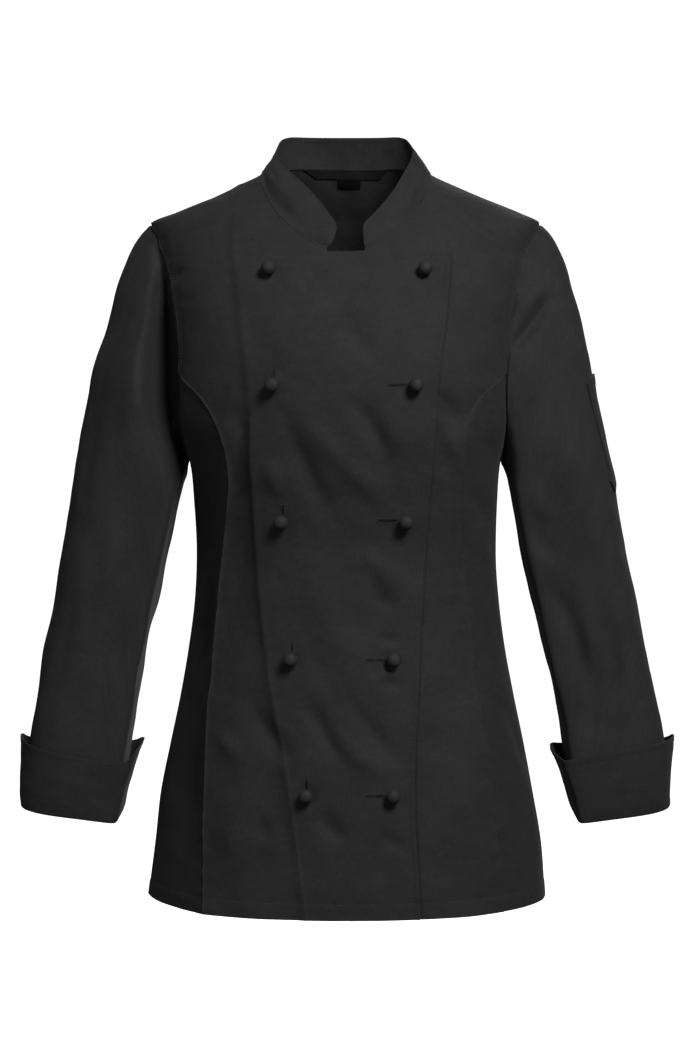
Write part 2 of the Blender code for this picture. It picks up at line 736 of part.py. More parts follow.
def collar_surface(rows=3):
    """Outer points of the stand collar: straight lines from the neckline to its free edge."""
    seam = neckline_points()
    lengths = np.linalg.norm(np.diff(seam, axis=0), axis=1)
    reached = np.concatenate([[0.0], np.cumsum(lengths)])
    middle = reached[len(seam) // 2]
    share = (reached - middle) / np.where(reached < middle, middle, reached[-1] - middle)
    place = np.abs(share)
    right = -read(COLLAR_EDGE, "right", place, by="share")
    left = read(COLLAR_EDGE, "left", place, by="share")
    edge = np.stack([
        np.where(share < 0, right, left),
        read(COLLAR_EDGE, "along", place, by="share"),
        read(COLLAR_EDGE, "height", place, by="share"),
    ], axis=1)
    rise = unit(edge - seam)
    base = seam + rise * GAP / 2
    shares = spaced(0.0, 1.0, rows)[:, None, None]
    points = base + (edge - base) * shares
    crown = np.sin(shares * math.pi) * COLLAR_CROWN
    return points + grid_normals(points) * crown


def grid_normals(points, closed=False):
    """Normals of a grid from the slopes along its rows and columns."""
    if closed:
        padded = np.concatenate([points[:, -1:], points, points[:, :1]], axis=1)
        along = np.gradient(padded, axis=1)[:, 1:-1]
    else:
        along = np.gradient(points, axis=1)
    up = np.gradient(points, axis=0)
    return unit(np.cross(along, up))


def make_collar(finish):
    """The stand collar in one piece, open at the front."""
    points = collar_surface()
    normals = grid_normals(points)
    return make_wall("collar", points, points - normals * WALL, finish)


def sleeve_section(side, down, around):
    """Points of the sleeve's reference line: an ellipse between its outer and inner lines."""
    down, around = np.broadcast_arrays(np.asarray(down, float), np.asarray(around, float))
    name = SIDE_NAMES[side]
    columns = {}
    for key in ("outer_" + name, "inner_" + name, "outer_height", "inner_height",
                "middle", "half_depth"):
        columns[key] = read(SLEEVE, key, down, by="down")
    outer = np.stack([side * columns["outer_" + name], columns["outer_height"]], axis=-1)
    inner = np.stack([side * columns["inner_" + name], columns["inner_height"]], axis=-1)
    level = (outer + inner) / 2 + (outer - inner) / 2 * np.cos(around)[..., None]
    along = columns["middle"] - columns["half_depth"] * np.sin(around)
    return np.stack([level[..., 0], along, level[..., 1]], axis=-1)


def sleeve_fold_height(side, down, around):
    """Folds of a sleeve: soft ovals; the two arms differ a little in place and strength."""
    down, around = np.broadcast_arrays(down, around)
    total = np.zeros(down.shape)
    for number, (place, turn, half_length, half_turn, height) in enumerate(SLEEVE_FOLDS):
        shift = SLEEVE_FOLD_SHIFT * side * math.sin(2.4 * number)
        strength = 1.0 + SLEEVE_FOLD_CHANGE * side * math.cos(1.9 * number)
        apart = (around - math.radians(turn) + math.pi) % (2 * math.pi) - math.pi
        reach = ((down - place - shift) / half_length) ** 2 + (apart / math.radians(half_turn)) ** 2
        total += height * strength * np.exp(-reach)
    fade = np.clip((SLEEVE_LENGTH - CUFF_HEIGHT - down) / CUFF_SETTLE, 0.0, 1.0)
    return total * fade


def armhole_loop(side):
    """The armhole seam as a ring, from the shoulder tip down the front and up the back.

    Also the outward directions there, and the way from each panel towards the sleeve.
    """
    edge, beside = (0, 1) if side < 0 else (-1, -2)
    front = front_surface(side)[0][PRINCESS_ROW:][::-1]
    low_across, low_heights = side_grid(side)
    low = on_torso(low_across, low_heights, -1)[UNDERARM_ROW:PRINCESS_ROW][::-1]
    back = back_surface()[0][UNDERARM_ROW + 1:-1]
    loop = np.concatenate([front[:, edge], low[:, 0], back[:, edge]])
    within = np.concatenate([front[:, beside], low[:, 1], back[:, beside]])
    return loop, outward(loop), unit(loop - within)


def sleeve_angles(loop):
    """Angle round the sleeve for each point of the armhole, by its share of the seam."""
    lengths = np.linalg.norm(np.diff(np.concatenate([loop, loop[:1]]), axis=0), axis=1)
    reached = np.concatenate([[0.0], np.cumsum(lengths)])
    lowest = int(np.argmin(loop[:, 2]))
    front = reached[:lowest + 1] / reached[lowest] * math.pi
    behind = (reached[lowest + 1:-1] - reached[lowest]) / (reached[-1] - reached[lowest])
    return np.concatenate([front, math.pi + behind * math.pi])


def sleeve_surface(side, cap_shares, arm_places):
    """Outer points of a sleeve and its offset from the reference line.

    The cap is a cubic from the armhole to the underarm section, which leaves the seam
    outwards and arrives along the arm. Below it the sections follow the table.
    """
    loop, normals, away = armhole_loop(side)
    first = sleeve_angles(loop)
    lowest = int(np.argmin(loop[:, 2]))
    even = np.concatenate([
        np.linspace(0.0, math.pi, lowest + 1),
        np.linspace(math.pi, 2 * math.pi, len(loop) - lowest + 1)[1:-1],
    ])
    target = sleeve_section(side, 0.0, first)
    onward = unit(sleeve_section(side, 0.03, first) - target)
    top = np.cos(first) * 0.5 + 0.5
    leave = unit(np.stack([
        side * np.interp(top, [0, 1], CAP_OUT),
        -CAP_ALONG * np.sin(first),
        -np.interp(top, [0, 1], CAP_DOWN),
    ], axis=-1))
    span = np.linalg.norm(target - loop, axis=1, keepdims=True)
    leave_reach = np.interp(top, [0, 1], CAP_REACH)[:, None] * span
    arrive_reach = CAP_ARRIVAL * span
    offset = loop + away * SEAM_STEP + normals * (UNDERARM_STEP * (1 - top))[:, None]
    rows = []
    for share in cap_shares:
        rows.append(
            offset * (1 + 2 * share) * (1 - share) ** 2
            + leave * leave_reach * share * (1 - share) ** 2
            + target * share ** 2 * (3 - 2 * share)
            + onward * arrive_reach * share ** 2 * (share - 1)
        )
    for down in arm_places:
        settle = min(1.0, down / ARM_SETTLE)
        around = first + (even - first) * settle
        points = sleeve_section(side, down, around)
        middle = sleeve_section(side, down, np.array([0.0, math.pi])).mean(axis=0)
        radial = unit(points - middle)
        narrow = np.clip((down - (SLEEVE_LENGTH - CUFF_HEIGHT)) / (CUFF_HEIGHT - CUFF_LEG), 0, 1)
        start = min(1.0, ARM_FOLD_START + down / CUFF_HEIGHT)
        fold = sleeve_fold_height(side, down, around) * start
        rows.append(points + radial * (fold - SLEEVE_NARROWING * narrow)[..., None])
    return np.array(rows), normals, first


def sleeve_grid(side):
    """Outer points of a sleeve and their outward directions, armhole to the cuff's leg."""
    cap = spaced(0.0, 1.0, CAP_ROWS)[:-1] ** CAP_SPACING
    arm = spaced(0.0, SLEEVE_LENGTH - CUFF_LEG - GAP, ARM_ROWS)
    outer, seam_normals, angles = sleeve_surface(side, cap, arm)
    normals = grid_normals(outer, closed=True) * side
    turned = np.clip((np.cos(angles) - 0.2) / 0.4, 0.0, 1.0)[:, None]
    normals[0] = unit(seam_normals * turned + normals[0] * (1 - turned))
    return outer, normals


def make_sleeve(side, name, finish):
    """One sleeve, armhole to the inner end of its cuff."""
    outer, normals = sleeve_grid(side)
    present = np.ones(outer.shape[:2], bool)
    faces = cell_faces(present, columns_closed=True)
    return cloth(name, outer, outer - normals * WALL, faces, finish)


def make_cuff(side, name, finish):
    """The turned-back cuff: its wall comes down inside, folds and stands up outside."""
    around = np.linspace(0.0, 2 * math.pi, 22, endpoint=False)
    share = read(CUFF_EDGE, SIDE_NAMES[side], np.degrees(around), by="around")
    flare = read(CUFF_EDGE, "flare", np.degrees(around), by="around")
    rows = []
    for out, up in zip(CUFF_PATH["out"], CUFF_PATH["up"]):
        is_leg = out < 0.0 and up == CUFF_LEG
        raised = up if is_leg else up * (1 + (share - 1) * min(1.0, up / CUFF_SETTLE))
        points = sleeve_section(side, SLEEVE_LENGTH - raised, around)
        middle = sleeve_section(side, SLEEVE_LENGTH - up, np.array([0.0, math.pi])).mean(axis=0)
        radial = unit(points - middle)
        spread = 1.0 + (flare - 1.0) * (up / CUFF_HEIGHT) ** 2
        rows.append(points + radial * out * spread[:, None])
    outer = np.array(rows)
    normals = grid_normals(outer, closed=True) * side
    present = np.ones(outer.shape[:2], bool)
    faces = cell_faces(present, columns_closed=True)
    return cloth(name, outer, outer - normals * WALL, faces, finish)


def make_pocket(finish):
    """Pen pocket on the wearer's left upper arm: the sleeve's own points, moved out."""
    outer, normals = sleeve_grid(1)
    turns = np.arange(-POCKET_REACH, POCKET_REACH + 1)
    outer = outer[:, turns]
    normals = normals[:, turns]
    lowest = POCKET_BOTTOM + POCKET_POINT * (1.0 - np.abs(turns) / POCKET_REACH)
    whole = np.arange(math.ceil(POCKET_TOP), math.ceil(POCKET_BOTTOM))
    places = [np.full(len(turns), POCKET_TOP)]
    places += [np.full(len(turns), float(row)) for row in whole]
    places.append(lowest)
    points = np.array([between_rows(outer, place) for place in places])
    out = np.array([unit(between_rows(normals, place)) for place in places])
    inner = points + out * 2 * GAP
    return make_wall("sleeve_pocket", inner + out * WALL, inner, finish)


def between_rows(grid, place):
    """Read a grid at a place between two of its rows, for each of its columns."""
    low = np.minimum(place.astype(int), len(grid) - 2)
    share = (place - low)[:, None]
    columns = np.arange(grid.shape[1])
    return grid[low, columns] * (1 - share) + grid[low + 1, columns] * share


def make_button(name, panel, across, height, finish):
    """A round stud: a short shank seated on the cloth and a ball above it."""
    mesh = panel.data
    tree = BVHTree.FromPolygons(
        [vertex.co for vertex in mesh.vertices],
        [tuple(face.vertices) for face in mesh.polygons],
    )
    seat, normal, _, _ = tree.ray_cast(Vector((across, -1.0, height)), Vector((0.0, 1.0, 0.0)))
    rise = SHANK_LENGTH + math.sqrt(BUTTON_RADIUS ** 2 - SHANK_RADIUS ** 2)
    start = math.asin(SHANK_RADIUS / BUTTON_RADIUS)
    turns = spaced(start, math.pi, 7)
    radii = np.concatenate([[0.0, SHANK_RADIUS], BUTTON_RADIUS * np.sin(turns)])
    heights = np.concatenate([[0.0, 0.0], rise - BUTTON_RADIUS * np.cos(turns)])
    radii[-1] = 0.0
    turn = np.linspace(0.0, 2 * math.pi, BUTTON_SIDES, endpoint=False)
    rings = np.stack([
        radii[:, None] * np.cos(turn),
        radii[:, None] * np.sin(turn),
        np.broadcast_to(heights[:, None] + GAP, (len(radii), BUTTON_SIDES)),
    ], axis=-1)
    present = np.ones(rings.shape[:2], bool)
    made = solid(name, rings.reshape(-1, 3), cell_faces(present, columns_closed=True), finish)
    made.location = seat
    made.rotation_euler = normal.to_track_quat("Z", "Y").to_euler()
    return made


def build():
    """Make every piece."""
    clear_scene()
    twill = (0.026, 0.026, 0.027)
    pressed = (0.022, 0.022, 0.024)
    panel = material("cotton_twill_black", twill, 0.85)
    inside = material("cotton_tape_black", pressed, 0.9)
    stud = material("moulded_stud_black", (0.03, 0.03, 0.032), 0.55)
    front_right = make_front(-1, "front_right", panel)
    make_front(1, "front_left", panel)
    make_side(-1, "side_front_right", panel)
    make_side(1, "side_front_left", panel)
    make_back(panel)
    make_collar(panel)
    make_tape(inside, inside)
    for side, word in SIDE_NAMES.items():
        make_sleeve(side, "sleeve_" + word, panel)
        make_cuff(side, "cuff_" + word, panel)
    make_pocket(panel)
    for row, height in enumerate(BUTTONS["height"]):
        for side, word in SIDE_NAMES.items():
            across = side * BUTTONS[word][row]
            name = "button_" + word + "_" + str(row + 1)
            make_button(name, front_right, across, height, stud)


build()
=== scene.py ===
"""A cook's double-breasted jacket in black cotton twill, worn shape with no wearer.

Metres, +Z up. The wearer faces -Y and the wearer's left is +X. Each cloth piece is a thin
wall on the form of its solid, with its own creases, seams and stitches.
"""
import math

import bpy
import numpy as np
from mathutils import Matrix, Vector


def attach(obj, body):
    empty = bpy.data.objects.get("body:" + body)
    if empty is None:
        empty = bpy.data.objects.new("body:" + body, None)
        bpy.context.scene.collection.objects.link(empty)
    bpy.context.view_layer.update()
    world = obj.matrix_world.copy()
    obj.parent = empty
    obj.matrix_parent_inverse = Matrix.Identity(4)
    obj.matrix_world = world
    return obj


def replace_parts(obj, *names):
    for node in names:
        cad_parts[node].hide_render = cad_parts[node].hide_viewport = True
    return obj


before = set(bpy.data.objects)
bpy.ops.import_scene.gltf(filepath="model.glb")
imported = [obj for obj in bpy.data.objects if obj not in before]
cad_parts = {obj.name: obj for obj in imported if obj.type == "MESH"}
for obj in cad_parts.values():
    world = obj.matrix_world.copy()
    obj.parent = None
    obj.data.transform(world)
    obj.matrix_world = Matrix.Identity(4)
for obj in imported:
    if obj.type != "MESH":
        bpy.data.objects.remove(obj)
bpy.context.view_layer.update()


# The two fronts: a right and a left panel of cotton twill, each from hem to shoulder. The
# right one laps over the left, and both have a facing whose edge shows as a soft ridge.

WALL = 0.0012
GAP = 0.0003            # between two cloths that lie on each other
SEAM_PRESS = 0.0001     # how far two sewn edges press into each other
HEM = -0.692
WAIST = -0.362
UNDERARM = -0.275
PRINCESS_TOP = -0.191   # where the princess seam meets the armhole
LAP_TOP = -0.079        # straight top edge of the two laps
SHOULDER_TIP = -0.049
NECK_SIDE = 0.081
FORM_LIMIT = 0.012
COLLAR_END = 0.0175
RIDGE_FOOT = 0.006      # where the overlap settles beside the underlap's edge
HEM_FOLD = 0.0145       # depth of the turned hem
EDGE_STITCH = 0.0042    # the overlap's two stitch lines, from its edge
EDGE_STITCHES = (EDGE_STITCH, 0.0072)
SEAM_STITCH = 0.0026    # topstitching beside a seam

# Rises and dips of the cloth, each with its height, its distance from the seam or edge and
# its half width.
SEAM_VALLEY = (-0.0012, 0.0, 0.0010)
SEAM_ROLL = (0.0007, 0.0014, 0.0010)
SEAM_DIP = (-0.0003, SEAM_STITCH, 0.0008)
PLAIN_SEAM = (-0.0006, 0.0, 0.0015)
HEM_DIP = (-0.0004, HEM_FOLD, 0.0012)
NECK_BEAD = (0.0007, 0.0012, 0.0011)
FACING_RIDGE = (0.0007, 0.0008, 0.0014)
OVERLAP_BEAD = (0.0006, 0.0015, 0.0011)
OVERLAP_DIP = (-0.00025, EDGE_STITCH, 0.0008)
UNDERLAP_DIP = (-0.0014, 0.0010, 0.0013)    # the left front where the overlap's edge lies on it

# Layers of turned cloth, each with its height and where it begins and ends to fall.
SEAM_ALLOWANCE = (0.0005, SEAM_STITCH, SEAM_STITCH + 0.0022)
HEM_LAYER = (0.0005, HEM_FOLD - 0.0008, HEM_FOLD + 0.0012)
LAP_LAYER = (1.0, LAP_TOP - 0.002, LAP_TOP + 0.010)
EDGE_LAYER = (EDGE_STITCH - 0.0006, EDGE_STITCH + 0.0012)   # of any height
FACING = 0.0006         # the facing above the laps, where the two cloths end
PUCKER_PITCH = 0.016


def table(columns, rows):
    """Turn rows of a named table into one array for each column."""
    return {name: np.array(values) for name, values in zip(columns.split(), zip(*rows))}


# Level sections of the worn form: half widths on the wearer's right and left, depths in
# front and behind, and how square the section is (2 is an ellipse).
FORM = table("height right left front back squareness", [
    (-0.695, 0.1917, 0.1925, 0.140, 0.132, 2.25),
    (-0.638, 0.1842, 0.1880, 0.137, 0.130, 2.25),
    (-0.592, 0.1790, 0.1800, 0.133, 0.127, 2.30),
    (-0.546, 0.1697, 0.1713, 0.129, 0.123, 2.30),
    (-0.500, 0.1600, 0.1617, 0.124, 0.118, 2.30),
    (-0.454, 0.1520, 0.1530, 0.119, 0.111, 2.30),
    (-0.408, 0.1460, 0.1470, 0.115, 0.104, 2.30),
    (-0.362, 0.1440, 0.1440, 0.113, 0.100, 2.30),
    (-0.316, 0.1460, 0.1450, 0.119, 0.106, 2.35),
    (-0.275, 0.1500, 0.1480, 0.126, 0.115, 2.40),
    (-0.235, 0.1625, 0.1575, 0.131, 0.121, 2.40),
    (-0.190, 0.1670, 0.1605, 0.130, 0.124, 2.40),
    (-0.150, 0.1697, 0.1635, 0.120, 0.122, 2.40),
    (-0.110, 0.1743, 0.1690, 0.103, 0.114, 2.40),
    (-0.080, 0.1800, 0.1745, 0.086, 0.104, 2.40),
    (-0.049, 0.1860, 0.1845, 0.069, 0.088, 2.35),
    (-0.038, 0.1617, 0.1655, 0.062, 0.082, 2.30),
    (-0.026, 0.1320, 0.1355, 0.055, 0.074, 2.30),
    (-0.014, 0.1060, 0.1075, 0.047, 0.067, 2.20),
    (-0.002, 0.0800, 0.0810, 0.039, 0.061, 2.20),
    (0.012, 0.0600, 0.0600, 0.030, 0.056, 2.20),
])

# Armhole seam, distance from the centre.
ARMHOLE = table("height right left", [
    (-0.275, 0.1500, 0.1480),
    (-0.268, 0.1505, 0.1485),
    (-0.247, 0.1535, 0.1490),
    (-0.219, 0.1550, 0.1495),
    (-0.191, 0.1560, 0.1500),
    (-0.163, 0.1570, 0.1520),
    (-0.135, 0.1600, 0.1560),
    (-0.107, 0.1655, 0.1615),
    (-0.079, 0.1725, 0.1680),
    (-0.064, 0.1785, 0.1750),
    (-0.049, 0.1860, 0.1845),
])

# Lines down the front, distance from the centre: the two princess seams, and the free
# edges of the underlap (on the wearer's right) and of the overlap (on the left).
FRONT_LINES = table("height princess_right princess_left underlap overlap", [
    (-0.692, 0.1334, 0.1490, 0.0375, 0.0680),
    (-0.640, 0.1338, 0.1445, 0.0440, 0.0655),
    (-0.590, 0.1334, 0.1363, 0.0505, 0.0630),
    (-0.530, 0.1305, 0.1275, 0.0600, 0.0640),
    (-0.470, 0.1256, 0.1200, 0.0708, 0.0670),
    (-0.410, 0.1213, 0.1148, 0.0775, 0.0702),
    (-0.350, 0.1158, 0.1098, 0.0820, 0.0735),
    (-0.290, 0.1090, 0.1072, 0.0848, 0.0775),
    (-0.262, 0.1120, 0.1090, 0.0858, 0.0800),
    (-0.240, 0.1190, 0.1130, 0.0868, 0.0820),
    (-0.215, 0.1335, 0.1260, 0.0882, 0.0838),
    (-0.191, 0.1560, 0.1500, 0.0905, 0.0855),
    (-0.135, 0.1600, 0.1560, 0.0970, 0.0925),
    (-0.079, 0.1725, 0.1680, 0.1037, 0.0965),
])

# Front neckline from the shoulder to the collar's end.
NECKLINE = table("across height", [
    (0.0803, -0.0075),
    (0.0765, -0.0180),
    (0.0645, -0.0402),
    (0.0440, -0.0588),
    (0.0290, -0.0690),
    (COLLAR_END, -0.0755),
])

# Broad folds of the fronts: a line across the panel, half width and height of the ridge.
FRONT_FOLDS = [
    (-0.055, -0.325, 0.050, -0.560, 0.022, 0.0030),
    (0.055, -0.215, -0.030, -0.350, 0.020, 0.0022),
    (-0.020, -0.470, 0.045, -0.640, 0.018, 0.0020),
    (-0.105, -0.420, -0.085, -0.660, 0.016, 0.0024),
    (0.110, -0.470, 0.118, -0.680, 0.018, 0.0026),
    (-0.120, -0.215, -0.075, -0.300, 0.018, 0.0022),
    (0.125, -0.215, 0.095, -0.300, 0.018, 0.0020),
]

# Creases of the fronts and side panels: where each starts, what it passes through and where
# it ends (distance from the centre and height), half width, and height. Troughs are negative.
FRONT_CREASES = [
    (-0.166, -0.110, -0.158, -0.098, -0.148, -0.090, 0.004, -0.0022),
    (-0.163, -0.125, -0.150, -0.122, -0.136, -0.124, 0.004, -0.0012),
    (-0.010, -0.129, 0.008, -0.158, 0.039, -0.194, 0.009, -0.0031),
    (-0.001, -0.208, 0.024, -0.240, 0.042, -0.295, 0.009, -0.0061),
    (-0.037, -0.238, -0.005, -0.268, 0.050, -0.326, 0.011, 0.0045),
    (-0.060, -0.216, -0.044, -0.261, -0.003, -0.339, 0.010, -0.005),
    (-0.069, -0.266, -0.066, -0.287, -0.060, -0.307, 0.008, 0.0031),
    (0.086, -0.204, 0.097, -0.225, 0.107, -0.250, 0.008, -0.0061),
    (0.097, -0.239, 0.101, -0.264, 0.104, -0.289, 0.007, 0.0036),
    (0.083, -0.231, 0.091, -0.266, 0.098, -0.301, 0.008, -0.0036),
    (0.120, -0.295, 0.127, -0.316, 0.133, -0.338, 0.008, -0.0036),
    (-0.100, -0.220, -0.099, -0.243, -0.097, -0.266, 0.008, -0.0041),
    (0.001, -0.350, 0.041, -0.378, 0.061, -0.402, 0.010, 0.0041),
    (0.018, -0.385, 0.034, -0.400, 0.050, -0.411, 0.008, -0.0031),
    (-0.042, -0.482, -0.019, -0.522, 0.001, -0.554, 0.008, -0.0045),
    (-0.024, -0.509, 0.008, -0.538, 0.042, -0.565, 0.009, 0.0041),
    (-0.001, -0.486, 0.027, -0.524, 0.050, -0.555, 0.008, -0.0036),
    (-0.124, -0.518, -0.107, -0.539, -0.098, -0.552, 0.008, 0.0036),
    (-0.091, -0.488, -0.077, -0.515, -0.040, -0.554, 0.009, -0.0045),
    (-0.028, -0.583, -0.017, -0.604, 0.008, -0.622, 0.008, -0.0036),
    (0.027, -0.611, 0.044, -0.622, 0.061, -0.630, 0.007, -0.0028),
    (-0.082, -0.597, -0.077, -0.611, -0.070, -0.624, 0.007, -0.0028),
    (-0.112, -0.570, -0.106, -0.616, -0.100, -0.660, 0.014, 0.0045),
    (0.028, -0.433, 0.041, -0.436, 0.053, -0.440, 0.006, -0.0024),
    (0.028, -0.474, 0.041, -0.476, 0.054, -0.481, 0.006, -0.0024),
    (0.128, -0.400, 0.131, -0.440, 0.139, -0.480, 0.009, -0.0036),
    (-0.132, -0.385, -0.137, -0.430, -0.147, -0.475, 0.010, -0.0045),
    (-0.147, -0.520, -0.153, -0.580, -0.162, -0.640, 0.012, -0.0053),
]

# Centres of the studs: distance from the centre on each side, and height.
BUTTONS = table("height right left", [
    (-0.0988, 0.0700, 0.0716),
    (-0.2022, 0.0654, 0.0620),
    (-0.3262, 0.0574, 0.0533),
    (-0.4545, 0.0492, 0.0426),
    (-0.5782, 0.0357, 0.0424),
])

# Sizes and heights of the waves of slack in the cloth.
TORSO_SLACK = ((0.090, 0.0013), (0.038, 0.00055), (0.016, 0.00014))

EDGE_ON = (0.02, 0.35)      # creases fade where the cloth turns away to the sides
STUD_HOLD = (0.004, 0.014)  # distances from a stud where creases begin and where they are whole

# Cells between the lines that run down the front, and between the rows of the panels.
MARK_CELLS = (30, 5, 26, 12, 36, 36)
MARK_STATIONS = (0, 3, 4, 10, 12, 18, 22)
LOWER_ROWS = 66
WAIST_ROWS = 22
ARMHOLE_ROWS = 60
UPPER_ROWS = 30
SEAM_CROWDING = 0.6     # how much closer the lines run beside a seam
SEAM_STEPS = (0.0, 0.0005, 0.0010, 0.0016, 0.0023, 0.0032, 0.0044, 0.0060)
STEPPED_ENDS = ((1, 0), (0, 0), (0, 0), (0, 0), (0, 1), (1, 1))


def cubic(share, start, start_slope, end, end_slope):
    """A cubic between two values with a slope at each: 2t^3 - 3t^2 + 1 and its three kin."""
    return (
        start * (1 + 2 * share) * (1 - share) ** 2
        + start_slope * share * (1 - share) ** 2
        + end * share ** 2 * (3 - 2 * share)
        + end_slope * share ** 2 * (share - 1)
    )


def smooth_read(at, stations, values):
    """Read a smooth curve through the values: a cubic whose slope is level at each turn."""
    at = np.asarray(at, float)
    steps = np.diff(stations)
    rises = np.diff(values) / steps
    slopes = np.empty_like(values)
    inner = (rises[:-1] * steps[1:] + rises[1:] * steps[:-1]) / (steps[1:] + steps[:-1])
    slopes[1:-1] = np.where(rises[:-1] * rises[1:] <= 0.0, 0.0, inner)
    slopes[0] = rises[0]
    slopes[-1] = rises[-1]
    low = np.clip(np.searchsorted(stations, at, side="right") - 1, 0, len(stations) - 2)
    share = (at - stations[low]) / steps[low]
    return cubic(share, values[low], slopes[low] * steps[low], values[low + 1],
                 slopes[low + 1] * steps[low])


def read(named, column, at, by="height"):
    """Read one column of a table at any value of the column that orders it."""
    return smooth_read(at, named[by], named[column])


def unit(vectors):
    """Scale vectors to length one."""
    lengths = np.linalg.norm(vectors, axis=-1, keepdims=True)
    return vectors / np.maximum(lengths, 1e-12)


def ease(value, low, high):
    """Rise smoothly from 0 at low to 1 at high: 3t^2 - 2t^3 of the share t between them."""
    t = np.clip((value - low) / (high - low), 0.0, 1.0)
    return t * t * (3 - 2 * t)


def bell(distance, middle, half):
    """One in the middle and fading to both sides: exp(-((d - m) / h)^2)."""
    return np.exp(-((distance - middle) / half) ** 2)


def rise(distance, height, middle, half):
    """A ridge, or a dip where its height is negative: the height times a bell."""
    return height * bell(distance, middle, half)


def layer(distance, height, low, high):
    """A layer of cloth that ends: its height up to low, falling to nothing at high."""
    return height * (1.0 - ease(distance, low, high))


def half_width(across, height):
    """Half width of the form on the side where the point lies."""
    return np.where(across < 0, read(FORM, "right", height), read(FORM, "left", height))


def ridge_height(across):
    """Height of the shoulder line at distances from the centre, all on one side."""
    heights = np.linspace(SHOULDER_TIP, FORM_LIMIT, 400)
    widths = half_width(np.full_like(heights, np.sign(np.mean(across))), heights)
    return np.interp(-np.abs(across), -widths, heights)


def form_points(across, height, facing):
    """Points of the form: |x/width|^p + |y/depth|^p = 1, front where facing is -1."""
    depth = read(FORM, "front" if facing < 0 else "back", height)
    power = read(FORM, "squareness", height)
    share = np.clip(np.abs(across) / half_width(across, height), 0.0, 1.0)
    along = facing * depth * (1.0 - share ** power) ** (1.0 / power)
    return np.stack([across, along, height], axis=-1)


def form_level(points):
    """One on the form, more outside it: the sum of both shares raised to the squareness."""
    across, along, height = points[..., 0], points[..., 1], points[..., 2]
    depth = np.where(along < 0, read(FORM, "front", height), read(FORM, "back", height))
    power = read(FORM, "squareness", height)
    width = half_width(across, height)
    return (np.abs(across) / width) ** power + (np.abs(along) / depth) ** power


def outward(points):
    """Direction straight out of the form, from the slope of its level."""
    slopes = []
    for axis, step in enumerate((0.0005, 0.0005, 0.005)):
        move = np.zeros(3)
        move[axis] = step
        slopes.append((form_level(points + move) - form_level(points - move)) / (2 * step))
    return unit(np.stack(slopes, axis=-1))


def fold_height(points, folds):
    """Height of the broad folds: a bell across each line, fading at its ends."""
    total = np.zeros(points.shape[:-1])
    for start_x, start_z, end_x, end_z, half, height in folds:
        along = np.array([end_x - start_x, end_z - start_z])
        offset_x = points[..., 0] - start_x
        offset_z = points[..., 2] - start_z
        reach = np.hypot(*along)
        share = (offset_x * along[0] + offset_z * along[1]) / reach ** 2
        aside = (offset_x * along[1] - offset_z * along[0]) / reach
        fade = np.clip(1.0 - (2.0 * share - 1.0) ** 2, 0.0, 1.0)
        total += height * fade * bell(aside, 0.0, half)
    return total


def crease_height(points, creases):
    """Height of creases: a bell across a bowed line, sin(pi s)^1.5 along it."""
    total = np.zeros(points.shape[:-1])
    for start_x, start_z, mid_x, mid_z, end_x, end_z, half, height in creases:
        along = np.array([end_x - start_x, end_z - start_z])
        reach = np.hypot(*along)
        bow = ((mid_x - start_x) * along[1] - (mid_z - start_z) * along[0]) / reach
        offset_x = points[..., 0] - start_x
        offset_z = points[..., 2] - start_z
        share = np.clip((offset_x * along[0] + offset_z * along[1]) / reach ** 2, 0.0, 1.0)
        straight = (offset_x * along[1] - offset_z * along[0]) / reach
        aside = straight - bow * 4 * share * (1 - share)
        fade = np.sin(math.pi * share) ** 1.5
        total += height * fade * bell(aside, 0.0, half)
    return total


def slack(points, seed, step, waves):
    """Low uneven slack: for each size and height of wave, seven with random directions."""
    total = np.zeros(points.shape[:-1])
    for number, (size, height) in enumerate(waves):
        random = np.random.default_rng(seed + step * number)
        for _ in range(7):
            direction = unit(random.normal(size=3) * np.array([1.0, 0.7, 0.6]))
            wave = 2 * math.pi / (size * random.uniform(0.7, 1.6))
            phase = random.uniform(0, 2 * math.pi)
            total += np.sin(points @ direction * wave + phase) * height / 3.0
    return total


def on_torso(across, height, facing):
    """Outer points of a panel with its broad folds."""
    flat = form_points(across, height, facing)
    normals = outward(flat)
    folds = FRONT_FOLDS if facing < 0 else BACK_FOLDS
    return flat + normals * fold_height(flat, folds)[..., None], normals


def crowded(cells):
    """Shares from 0 to 1, closer together at both ends: t - a sin(2 pi t) / (2 pi)."""
    t = np.linspace(0.0, 1.0, cells + 1)
    return t - SEAM_CROWDING * np.sin(2 * math.pi * t) / (2 * math.pi)


def spaced(width, cells, at_start, at_end):
    """Shares of a width: the fixed steps beside a seam or free edge, and even in between."""
    steps = np.array(SEAM_STEPS)
    start = (steps if at_start else steps[:1]) / width[:, None]
    end = 1.0 - (steps if at_end else steps[:1])[::-1] / width[:, None]
    inner = cells + 2 - start.shape[1] - end.shape[1]
    even = np.linspace(0.0, 1.0, inner + 1)[1:-1]
    middle = start[:, -1:] + (end[:, :1] - start[:, -1:]) * even
    return np.concatenate([start, middle, end], axis=1)


